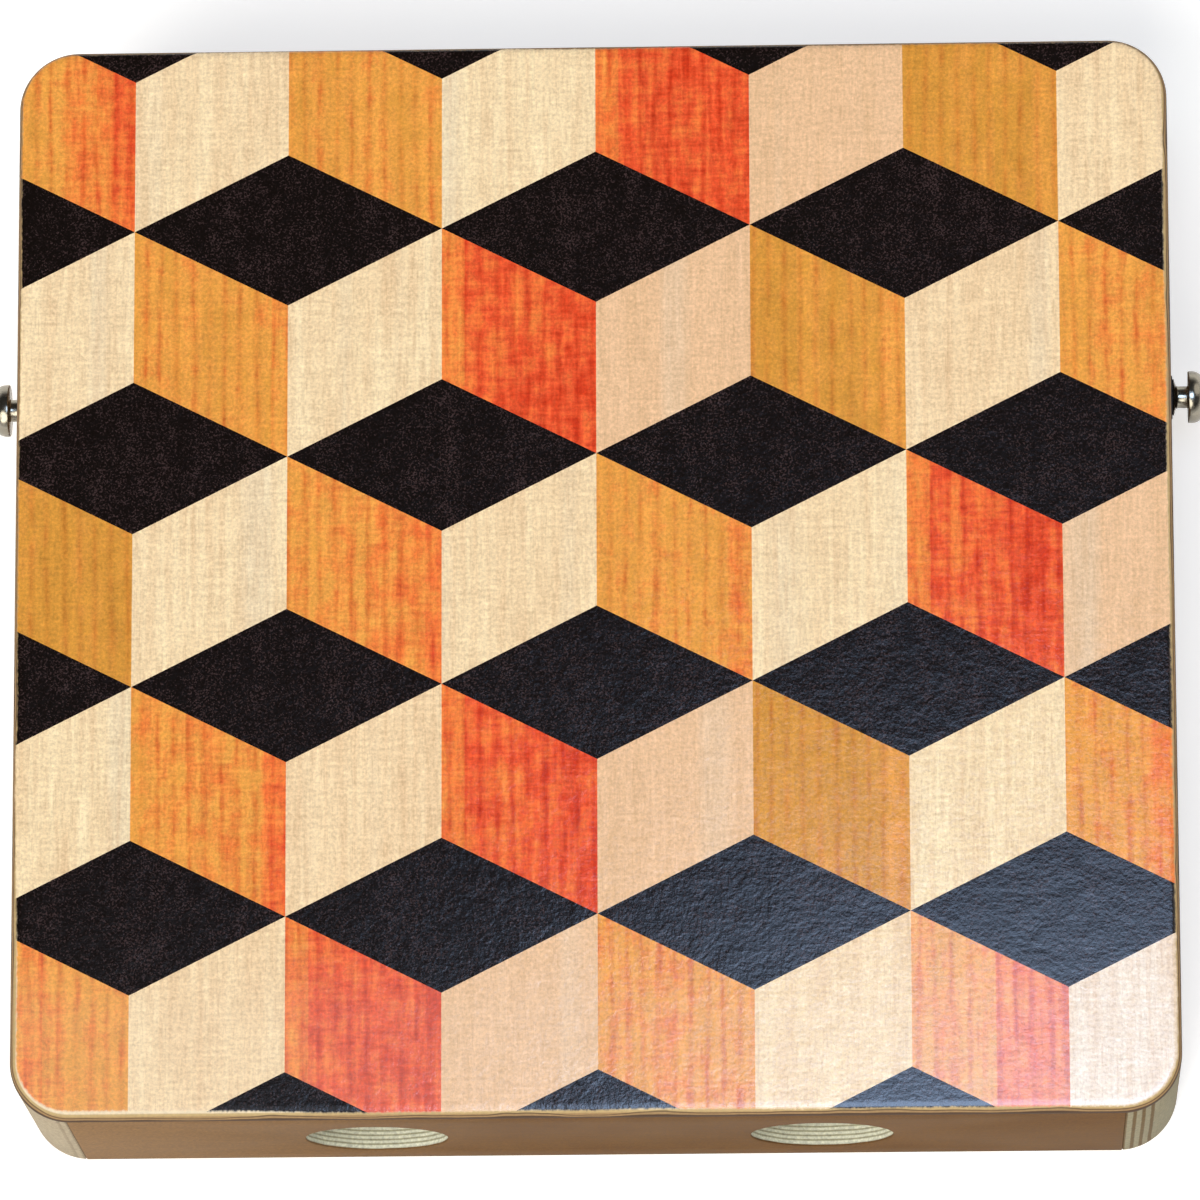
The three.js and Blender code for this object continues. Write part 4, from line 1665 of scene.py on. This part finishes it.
@dataclass
class Walls(SubAssembly):
    """Four plywood walls, the long two rounded at their ends, and the back panel let in between them.

    Attributes:
        corner: Radius of the drum's corners in plan.
        corner_steps: Steps round a corner.
        eased: Rounding of the walls' edges.
        panel_eased: Rounding of the back panel's edges.
        panel_streak: Width of a streak in the panel's grain.
        hole_diameter: Diameter of a sound hole.
        hole_spacing: Distance between the sound holes' centres.
        hole_rise: Height of their centres above the walls' rear edge.
        left_plain: Depth of the left wall's ends that shows no dark plies.
        right_plain: The same for the right wall.
        cross_ply: Thickness of a ply in the short walls.
    """

    corner: float = CORNER
    corner_steps: int = 24
    eased: float = 0.4 * MM
    panel_eased: float = 0.5 * MM
    panel_streak: float = 7.0 * MM
    hole_diameter: float = 38.0 * MM
    hole_spacing: float = 119.0 * MM
    hole_rise: float = 30.0 * MM
    left_plain: float = 11.5 * MM
    right_plain: float = 5.5 * MM
    cross_ply: float = 0.60 * MM

    def side_wall(self, name: str, side: float) -> None:
        """Makes one of the two long walls.

        Args:
            name: left or right.
            side: -1 for left and 1 for right.
        """
        box = Box.of(f"side_{name}")
        inside, outside = box.side_reach
        centre_x = outside - self.corner
        centre_y = box.high.y + self.corner_drop(inside - centre_x) - self.corner
        start = math.degrees(math.acos((inside - centre_x) / self.corner))
        upper = MeshMaker.arc((centre_x, centre_y), self.corner, start, 0, self.corner_steps)
        outline = [(side * x, y) for x, y in upper + [(x, -y) for x, y in reversed(upper)]]
        wall = MeshMaker.prism(f"wall_{name}", outline, box.low.z, box.high.z)
        MeshMaker.ease(wall, self.eased)
        # Painted light and shade: the left wall's plies are a paler, lit copy and the right wall's a darker,
        # shaded copy.
        plies = (Tint.PLY_GREY, Tint.PLY_DARK, self.right_plain)
        if side < 0:
            plies = (Tint.PLY_PALE, Tint.PLY_TAN, self.left_plain)
        finish = PlywoodBoard(f"veneer_{name}", "brown_veneer", Axis.X, Axis.Y, outside, box.size.x, *plies)
        self.place(wall, finish, f"side_{name}")

    def corner_drop(self, offset: float) -> float:
        """How far the round corner has fallen at an offset from its centre."""
        return self.corner - math.sqrt(self.corner**2 - offset**2)

    def board(self, name: str, box: Box) -> Piece:
        """A plain board that fills a box, before its edges are eased.

        Args:
            name: The object's name.
            box: The box to fill.

        Returns:
            The board.
        """
        low, high = box.low, box.high
        outline = ((low.x, low.y), (high.x, low.y), (high.x, high.y), (low.x, high.y))
        return MeshMaker.prism(name, outline, low.z, high.z)

    def cross_walls(self) -> None:
        """Makes the two short walls, the lower one with its sound holes."""
        top, bottom = Box.of("side_top"), Box.of("side_bottom")
        board = {"half": top.high.y, "thickness": top.size.y, "ply": self.cross_ply}
        tints = {"pale": Tint.PLY_BRIGHT, "dark": Tint.PLY_LINE}
        finish = PlywoodBoard("veneer_across", "brown_veneer", Axis.Y, Axis.X, **board, **tints)
        upper = self.board("wall_top", top)
        lower = self.board("wall_bottom", bottom)
        sizes = {
            "First Hole": (-self.hole_spacing / 2, bottom.centre.y, bottom.low.z + self.hole_rise),
            "Spacing": self.hole_spacing,
            "Diameter": self.hole_diameter,
            "Through": 2 * bottom.size.y,
        }
        hole_tree().apply(lower, finish, sizes)
        for wall, node in ((upper, "side_top"), (lower, "side_bottom")):
            MeshMaker.ease(wall, self.eased)
            self.place(wall, finish, node)

    def back(self) -> None:
        """Makes the back panel."""
        panel = self.board("rear_panel", Box.of("back_panel"))
        MeshMaker.ease(panel, self.panel_eased)
        tints = (Tint.BIRCH, Tint.BIRCH_DARK)
        finish = RawWood("birch_back", "birch_plywood", *tints, Axis.Y, self.panel_streak)
        self.place(panel, finish, "back_panel")

    def build(self) -> None:
        """Makes and dresses the walls and the back."""
        for name, side in SIDES.items():
            self.side_wall(name, side)
        self.cross_walls()
        self.back()


@dataclass
class StrapButtons(SubAssembly):
    """Two turned strap buttons, each on a felt washer and held by a cross-head screw.

    Attributes:
        stem: Diameter of the button's neck.
        base: Diameter of its foot.
        base_thickness: Thickness of the foot.
        head: Thickness of its head.
        rim: Straight part of the head's edge.
        edge: Rounding of its small edges.
        flat_end: Diameter of the head's flat end.
        bore: Diameter of the hole for the screw.
        sink: Diameter of the countersink.
        wood_screw: The screw.
        felt_fuzz: Thickness of one layer of the felt's frayed edge.
        felt_grit: Size of the felt's grit.
        felt_depth: Height of that grit.
        felt_seed: Seed of the fraying.
    """

    stem: float = 6.0 * MM
    base: float = 10.0 * MM
    base_thickness: float = 0.8 * MM
    head: float = 4.2 * MM
    rim: float = 1.0 * MM
    edge: float = 0.3 * MM
    flat_end: float = 9.0 * MM
    bore: float = 4.1 * MM
    sink: float = 7.0 * MM
    wood_screw: CrossScrew = CrossScrew(
        shank=3.5 * MM,
        head=6.4 * MM,
        height=1.45 * MM,
        span=3.4 * MM,
        width=0.8 * MM,
        depth=1.0 * MM,
    )
    felt_fuzz: float = 0.05 * MM
    felt_grit: float = 0.35 * MM
    felt_depth: float = 0.12 * MM
    felt_seed: int = 7

    def outward(self, side: float, box: Box) -> Matrix:
        """Turns +Z to point out of a wall, at a button's axis.

        Args:
            side: -1 for left and 1 for right.
            box: The piece's box.

        Returns:
            The turn and the move to the box's inner face.
        """
        start = box.low.x if side > 0 else box.high.x
        turn = Matrix.Rotation(side * QUARTER_TURN, 4, "Y")
        return Matrix.Translation((start, box.centre.y, box.centre.z)) @ turn

    def button(self, name: str, side: float) -> None:
        """Makes one button.

        Args:
            name: left or right.
            side: -1 for left and 1 for right.
        """
        box = Box.of(f"strap_button_{name}")
        length, widest = box.size.x, box.size.y / 2
        under = length - self.head
        neck, foot, flat = self.stem / 2, self.base / 2, self.flat_end / 2
        fillet, edge = self.base_thickness, self.edge
        shoulder = under + self.rim
        crown = [
            (flat + (widest - flat) * x, shoulder + (length - shoulder) * y)
            for x, y in MeshMaker.arc((0.0, 0.0), 1.0, 0, 90, steps=14)
        ]
        profile = [(self.bore / 2, 0.0), (foot - edge, 0.0)]
        profile += MeshMaker.arc((foot - edge, edge), edge, -90, 0, steps=4)
        profile += MeshMaker.arc((neck + fillet, 2 * fillet), fillet, -90, -180, steps=8)
        profile += MeshMaker.arc((neck + edge, under - edge), edge, 180, 90, steps=4)
        profile += MeshMaker.arc((widest - edge, under + edge), edge, -90, 0, steps=4)
        profile += crown
        profile += [(self.sink / 2, length), (self.bore / 2, length - (self.sink - self.bore) / 2)]
        profile.append(profile[0])
        button = MeshMaker.turned(f"button_{name}", profile, steps=96)
        button.data.transform(self.outward(side, box))
        metal = {"rough": 0.16, "tarnish": 0.28, "along": Axis.X}
        finish = PlatedMetal("polished_nickel", "nickel_plate", Tint.NICKEL, **metal)
        self.place(button, finish, f"strap_button_{name}")

    def screw(self, name: str, side: float) -> None:
        """Makes one screw.

        Args:
            name: left or right.
            side: -1 for left and 1 for right.
        """
        box = Box.of(f"strap_screw_{name}")
        finish = zinc_screw(Axis.X)
        screw = self.wood_screw.build(f"button_screw_{name}", box.size.x, finish)
        screw.data.transform(self.outward(side, box))
        self.place(screw, finish, f"strap_screw_{name}")

    def felt(self, name: str, side: float) -> None:
        """Makes one felt washer, its edge frayed a little.

        Args:
            name: left or right.
            side: -1 for left and 1 for right.
        """
        box = Box.of(f"strap_felt_{name}")
        thick = box.size.x
        hole, edge = self.bore / 2, box.size.y / 2 - 3 * self.felt_fuzz
        levels = [level for _, level in MeshMaker.arc((0.0, thick / 2), thick / 2, -60, 60, steps=6)]
        profile = [(hole, 0.0), *((edge, level) for level in (0.0, *levels, thick)), (hole, thick)]
        profile.append(profile[0])
        washer = MeshMaker.turned(f"washer_{name}", profile, steps=120)
        draw = random.Random(self.felt_seed)
        for vertex in washer.data.vertices:
            away = Vector((vertex.co.x, vertex.co.y, 0.0))
            if away.length > self.bore:
                vertex.co += away.normalized() * draw.uniform(0.0, 2 * self.felt_fuzz)
        washer.data.transform(self.outward(side, box))
        tints = (Tint.FELT, Tint.FELT_PALE)
        finish = SoftBlack("pressed_felt", "black_felt", *tints, self.felt_grit, self.felt_depth)
        self.place(washer, finish, f"strap_felt_{name}")

    def build(self) -> None:
        """Makes and dresses both buttons with their screws and washers."""
        for name, side in SIDES.items():
            self.button(name, side)
            self.screw(name, side)
            self.felt(name, side)


@dataclass
class Feet(SubAssembly):
    """Four rubber feet and the screws sunk in them.

    Attributes:
        taper: How much narrower a foot is where it rests.
        eased: Rounding of the foot's edges.
        bore: Diameter of the hole for the screw's shank.
        recess: Diameter of the recess for its head.
        seat_gap: Gap between the screw's head and the bottom of the recess.
        grit: Size of the rubber's grit.
        grit_depth: Height of that grit.
        wood_screw: The screw.
        corners: Names of the corners.
    """

    taper: float = 1.0 * MM
    eased: float = 0.5 * MM
    bore: float = 3.6 * MM
    recess: float = 7.0 * MM
    seat_gap: float = 0.2 * MM
    grit: float = 0.5 * MM
    grit_depth: float = 0.04 * MM
    wood_screw: CrossScrew = CrossScrew(
        shank=3.0 * MM,
        head=6.4 * MM,
        height=1.4 * MM,
        span=3.2 * MM,
        width=0.7 * MM,
        depth=0.8 * MM,
        eased=0.5 * MM,
    )
    corners: tuple[str, ...] = ("top_left", "top_right", "bottom_left", "bottom_right")

    def repeat(self, template: Piece, name: str, node: str, finish: Finish) -> None:
        """Puts a copy of a shape at each corner, as one piece.

        Args:
            template: The shape, about the Z axis.
            name: The piece's name.
            node: Start of the CAD nodes' names.
            finish: What the copies wear.
        """
        nodes = [f"{node}_{corner}" for corner in self.corners]
        centres = [Box.of(each).centre for each in nodes]
        piece = MeshMaker.raw(name, [(centre.x, centre.y, 0.0) for centre in centres])
        copy_tree().apply(piece, finish, {"Copy": template})
        bpy.data.objects.remove(template)
        self.place(piece, finish, *nodes)

    def feet(self) -> None:
        """Makes the four feet."""
        box = Box.of(f"foot_{self.corners[0]}")
        height, wide = box.size.z, box.size.x / 2
        rest = wide - self.taper
        screw = Box.of(f"foot_screw_{self.corners[0]}")
        seat = screw.low.z + self.wood_screw.height + self.seat_gap
        bore, recess, eased = self.bore / 2, self.recess / 2, self.eased
        profile = [(bore, height), (bore, seat), (recess, seat), (recess, eased)]
        profile += MeshMaker.arc((recess + eased, eased), eased, 180, 270, steps=5)
        profile += MeshMaker.arc((rest - eased, eased), eased, -90, -20, steps=5)
        profile.append((wide, self.taper + eased))
        profile += MeshMaker.arc((wide - eased, height - eased), eased, 0, 90, steps=5)
        profile.append(profile[0])
        foot = MeshMaker.turned("foot_shape", profile, steps=72)
        tints = (Tint.RUBBER, Tint.RUBBER_PALE)
        finish = SoftBlack("moulded_rubber", "foot_rubber", *tints, self.grit, self.grit_depth)
        self.repeat(foot, "rubber_feet", "foot", finish)

    def screws(self) -> None:
        """Makes the four screws, heads down."""
        box = Box.of(f"foot_screw_{self.corners[0]}")
        finish = zinc_screw(Axis.Z)
        screw = self.wood_screw.build("foot_screw_shape", box.size.z, finish)
        turn = Matrix.Rotation(2 * QUARTER_TURN, 4, "X")
        screw.data.transform(Matrix.Translation((0.0, 0.0, box.high.z)) @ turn)
        self.repeat(screw, "feet_screws", "foot_screw", finish)

    def build(self) -> None:
        """Makes and dresses the feet and their screws."""
        self.feet()
        self.screws()


@dataclass
class Snare(SubAssembly):
    """Two wound strings, their hooks and tuning screws, and the plate that anchors them.

    Attributes:
        core: Diameter of a string's core.
        wire: Diameter of the wire wound on it.
        bend: Radius of the string's bends.
        ball: Diameter of a ball end.
        turns: Turns of the winding.
        pitch: Pitch of the tuning screw's thread.
        shank: Diameter of its shank.
        thread_depth: Depth of its thread.
        crest: Half of the thickness of a thread's crest.
        crest_rise: How far the middle of a crest stands above the thread's root.
        head_height: Height of its head.
        ridge: Radius of a ridge of its knurl.
        hex: Width across its socket's flats, and the socket's depth.
        eased: Rounding of its head.
        wood_screw: The screw that holds the anchor plate.
    """

    core: float = 0.62 * MM
    wire: float = 0.36 * MM
    bend: float = 1.0 * MM
    ball: float = 4.0 * MM
    turns: int = 460
    pitch: float = 0.8 * MM
    shank: float = 5.0 * MM
    thread_depth: float = 0.4 * MM
    crest: float = 0.24 * MM
    crest_rise: float = 0.12 * MM
    head_height: float = 5.0 * MM
    ridge: float = 0.2 * MM
    hex: Pair = (4.0 * MM, 2.5 * MM)
    eased: float = 0.4 * MM
    wood_screw: CrossScrew = CrossScrew(
        shank=3.2 * MM,
        head=6.4 * MM,
        height=2.0 * MM,
        span=3.4 * MM,
        width=0.8 * MM,
        depth=1.0 * MM,
        eased=0.8 * MM,
    )

    def string(self, name: str, side: float) -> None:
        """Makes one string along the line of its CAD node.

        Args:
            name: left or right.
            side: -1 for left and 1 for right.
        """
        box = Box.of(f"string_{name}")
        inset = self.ball / 2
        level = box.high.z - (self.core / 2 + self.wire / 2)
        near, far = box.side_reach
        low = Vector((side * (near + inset), box.low.y + inset, level))
        high = Vector((side * (far - inset), box.high.y - inset, level))
        drop = Vector((0.0, 0.0, box.low.z + inset - level))
        path = (low + drop, low, high, high + drop)
        string = MeshMaker.raw(f"snare_string_{name}", path, edges=((0, 1), (1, 2), (2, 3)))
        metal = {"rough": 0.30, "tarnish": 0.35, "along": Axis.Y}
        finish = PlatedMetal("wound_bronze", "string_bronze", Tint.BRONZE, **metal)
        sizes = {
            "Core": self.core,
            "Wire": self.wire,
            "Bend": self.bend,
            "Ball": self.ball,
            "Turns": self.turns,
        }
        string_tree().apply(string, finish, sizes)
        MeshMaker.smooth(string)
        end = (high.x, Box.of(f"string_hook_{name}").low.y, level)
        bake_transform(string)
        self.claim(string, finish, [f"string_{name}"])

    def along_y(self, box: Box) -> Matrix:
        """Turns +Z to point along Y, and moves to the near end of a box."""
        turn = Matrix.Rotation(-QUARTER_TURN, 4, "X")
        return Matrix.Translation((box.centre.x, box.low.y, box.centre.z)) @ turn

    def tuning_screw(self, name: str) -> None:
        """Makes one tuning screw, its head towards the sound holes.

        Args:
            name: left or right.
        """
        box = Box.of(f"tuner_screw_{name}")
        length, shank = box.size.y, self.shank / 2
        grip = box.size.x / 2 - self.eased
        root = shank - self.thread_depth
        crown = MeshMaker.arc((grip - self.eased, self.eased), self.eased, -90, 0, steps=5)
        profile = [(0.0, 0.0), *crown, (grip, self.head_height), (root, self.head_height)]
        profile += [(root, length - shank), (root / 2, length), (0.0, length)]
        screw = MeshMaker.turned(f"tuning_screw_{name}", profile, steps=72)
        finish = zinc_screw(Axis.Y)
        sizes = {
            "Head Radius": grip,
            "Head Height": self.head_height,
            "Hex": self.hex[0],
            "Hex Depth": self.hex[1],
            "Ridge": self.ridge,
            "Thread Radius": root + self.crest_rise,
            "Crest": self.crest,
            "Pitch": self.pitch,
            "Thread From": self.head_height + self.pitch,
            "Thread Length": length - self.head_height - 4 * self.pitch,
        }
        socket_screw_tree().apply(screw, finish, sizes)
        screw.data.transform(self.along_y(box))
        self.place(screw, finish, f"tuner_screw_{name}", body=f"tuner_{name}")

    def plate_screw(self, name: str) -> None:
        """Makes one of the screws that hold the anchor plate.

        Args:
            name: left or right.
        """
        box = Box.of(f"anchor_screw_{name}")
        finish = zinc_screw(Axis.Y)
        screw = self.wood_screw.build(f"plate_screw_{name}", box.size.y, finish)
        screw.data.transform(self.along_y(box))
        self.place(screw, finish, f"anchor_screw_{name}")

    def build(self) -> None:
        """Makes the strings and screws, and dresses the hooks, inserts and anchor plate."""
        for name, side in SIDES.items():
            self.string(name, side)
            self.tuning_screw(name)
            self.plate_screw(name)
        steel = PlatedMetal("zinc_sheet", "zinc_steel", Tint.ZINC, rough=0.32, tarnish=0.34, along=Axis.Z)
        self.redress(steel, "anchor_plate", *(f"string_hook_{name}" for name in SIDES))
        metal = {"rough": 0.26, "tarnish": 0.30, "along": Axis.Y}
        brass = PlatedMetal("turned_brass", "insert_brass", Tint.BRASS, **metal)
        self.redress(brass, *(f"tuner_insert_{name}" for name in SIDES))


@dataclass
class InnerWood(SubAssembly):
    """Corner blocks, battens, tuner rail and anchor block inside the drum.

    Attributes:
        pine_streak: Width of a streak in the softwood.
        beech_streak: Width of a streak in the hardwood.
    """

    pine_streak: float = 3.0 * MM
    beech_streak: float = 2.0 * MM

    def pine(self, name: str, along: Axis) -> RawWood:
        """Softwood with its grain along an axis."""
        return RawWood(name, "softwood", Tint.PINE, Tint.PINE_DARK, along, self.pine_streak)

    def build(self) -> None:
        """Dresses the inner wood."""
        blocks = [f"corner_block_{row}_{side}" for row in ("top", "bottom") for side in SIDES]
        self.redress(self.pine("pine_upright", Axis.Z), *blocks)
        self.redress(self.pine("pine_lengthwise", Axis.Y), *(f"back_batten_{side}" for side in SIDES))
        self.redress(self.pine("pine_crosswise", Axis.X), "back_batten_top")
        tints = (Tint.BEECH, Tint.BEECH_DARK)
        beech = RawWood("beech_crosswise", "hardwood", *tints, Axis.X, self.beech_streak)
        self.redress(beech, "tuner_rail", "anchor_block")


# Studio


class Reach(Enum):
    """What a lamp's light shows on."""

    ALL = "all"
    GLOSS = "reflections alone"
    MATT = "all but reflections"


class LampKind(Enum):
    """Kinds of lamp: one far away that points at the drum, or a lit square that hangs facing down."""

    SUN = "SUN"
    AREA = "AREA"


@dataclass(frozen=True)
class Lamp:
    """One soft lamp.

    Attributes:
        name: The lamp's name.
        kind: Its kind.
        energy: Its strength, in watts for a lit square.
        colour: Its colour.
        place: Where it stands.
        spread: Angle of a far lamp in degrees, or side of a lit square in metres.
        reach: What the lamp's light shows on.
    """

    name: str
    kind: LampKind
    energy: float
    colour: Point
    place: Point
    spread: float
    reach: Reach = Reach.ALL

    def build(self) -> None:
        """Puts the lamp in the scene."""
        light = bpy.data.lights.new(self.name, self.kind.value)
        light.energy = self.energy
        light.color = self.colour
        aim = Vector((0.0, 0.0, -1.0))
        if self.kind is LampKind.SUN:
            light.angle = math.radians(self.spread)
            aim = -Vector(self.place)
        else:
            light.size = self.spread
        lamp = bpy.data.objects.new(self.name, light)
        lamp.location = self.place
        lamp.visible_diffuse = self.reach is not Reach.GLOSS
        lamp.visible_glossy = self.reach is not Reach.MATT
        lamp.rotation_euler = aim.to_track_quat("-Z", "Y").to_euler()
        bpy.context.collection.objects.link(lamp)


@dataclass
class Studio:
    """Floor, soft light and the camera.

    Attributes:
        floor_half: Half of the floor's side.
        camera_place: Where the camera stands.
        camera_turn: The camera's turn from looking straight down, as a rotation vector in degrees.
        lens: Focal length in millimetres.
        sensor: Width of the sensor in millimetres.
        horizon: Brightness of the room's walls.
        zenith: Brightness of its ceiling.
        ceiling_blend: Heights between which the walls pass into the ceiling, 1 being straight up.
        lamps: The lamps.
    """

    floor_half: float = 30.0
    camera_place: Point = (0.0927, -0.5568, 2.5342)
    camera_turn: Point = (12.55, 2.12, -0.40)
    lens: float = 284.3
    sensor: float = 36.0
    horizon: float = 1.0
    zenith: float = 0.06
    ceiling_blend: Pair = (0.08, 0.42)
    lamps: tuple[Lamp, ...] = (
        Lamp("key_light", LampKind.SUN, 2.50, (1.0, 0.96, 0.89), (-0.6, -1.2, 1.3), 50.0),
        Lamp("fill_light", LampKind.SUN, 0.60, (1.0, 0.97, 0.92), (1.3, 0.7, 1.2), 50.0),
        Lamp("window", LampKind.AREA, 5.2, (0.50, 0.68, 1.0), (0.29, -0.02, 2.0), 0.62),
        Lamp("sky", LampKind.AREA, 12.5, (0.50, 0.68, 1.0), (0.27, -0.21, 2.1), 0.72, Reach.GLOSS),
        Lamp("haze", LampKind.AREA, 0.5, (0.85, 0.9, 1.0), (-0.26, -0.08, 2.1), 0.5, Reach.GLOSS),
        Lamp("ceiling", LampKind.SUN, 0.53, (1.0, 1.0, 1.0), (0.0, 0.0, 2.0), 120.0, Reach.MATT),
    )

    def floor(self) -> None:
        """Makes the floor."""
        sides = ((-1, -1), (1, -1), (1, 1), (-1, 1))
        corners = [(self.floor_half * x, self.floor_half * y, 0.0) for x, y in sides]
        floor = MeshMaker.raw("floor", corners, faces=((0, 1, 2, 3),))
        MeshMaker.wear(floor, StudioPaper("studio_paper", ""))

    def world(self) -> None:
        """Lights the room from its pale walls, under a darker ceiling."""
        world = bpy.data.worlds.new("room")
        world.use_nodes = True
        world.node_tree.nodes.clear()
        graph = Graph(world.node_tree)
        up = graph.xyz(graph.node("ShaderNodeTexCoord").outputs["Generated"])["Z"]
        level = graph.ramp(up, *self.ceiling_blend, self.horizon, self.zenith)
        light = graph.put("ShaderNodeBackground", {"Color": (1.0, 1.0, 1.0, 1.0), "Strength": level})
        graph.node("ShaderNodeOutputWorld", {"Surface": light})
        bpy.context.scene.world = world

    def camera(self) -> None:
        """Puts the camera at the photograph's viewing angle."""
        data = bpy.data.cameras.new("camera")
        data.sensor_width = self.sensor
        data.lens = self.lens
        data.clip_end = 100.0
        camera = bpy.data.objects.new("camera", data)
        turn = Vector([math.radians(angle) for angle in self.camera_turn])
        camera.matrix_world = Matrix.Translation(self.camera_place) @ Matrix.Rotation(turn.length, 4, turn)
        bpy.context.collection.objects.link(camera)
        bpy.context.scene.camera = camera

    def build(self) -> None:
        """Makes the studio."""
        bpy.context.scene.view_settings.view_transform = "Standard"
        self.floor()
        self.world()
        self.camera()
        for lamp in self.lamps:
            lamp.build()


def main() -> None:
    """Builds and dresses the drum's sub-assemblies in order."""
    logging.basicConfig(level=logging.INFO, format="%(name)s: %(message)s")
    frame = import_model()
    Studio().build()
    for sub_assembly in (PlayingPlate, Walls, StrapButtons, Feet, Snare, InnerWood):
        sub_assembly(frame).build()


if __name__ == "__main__":
    main()
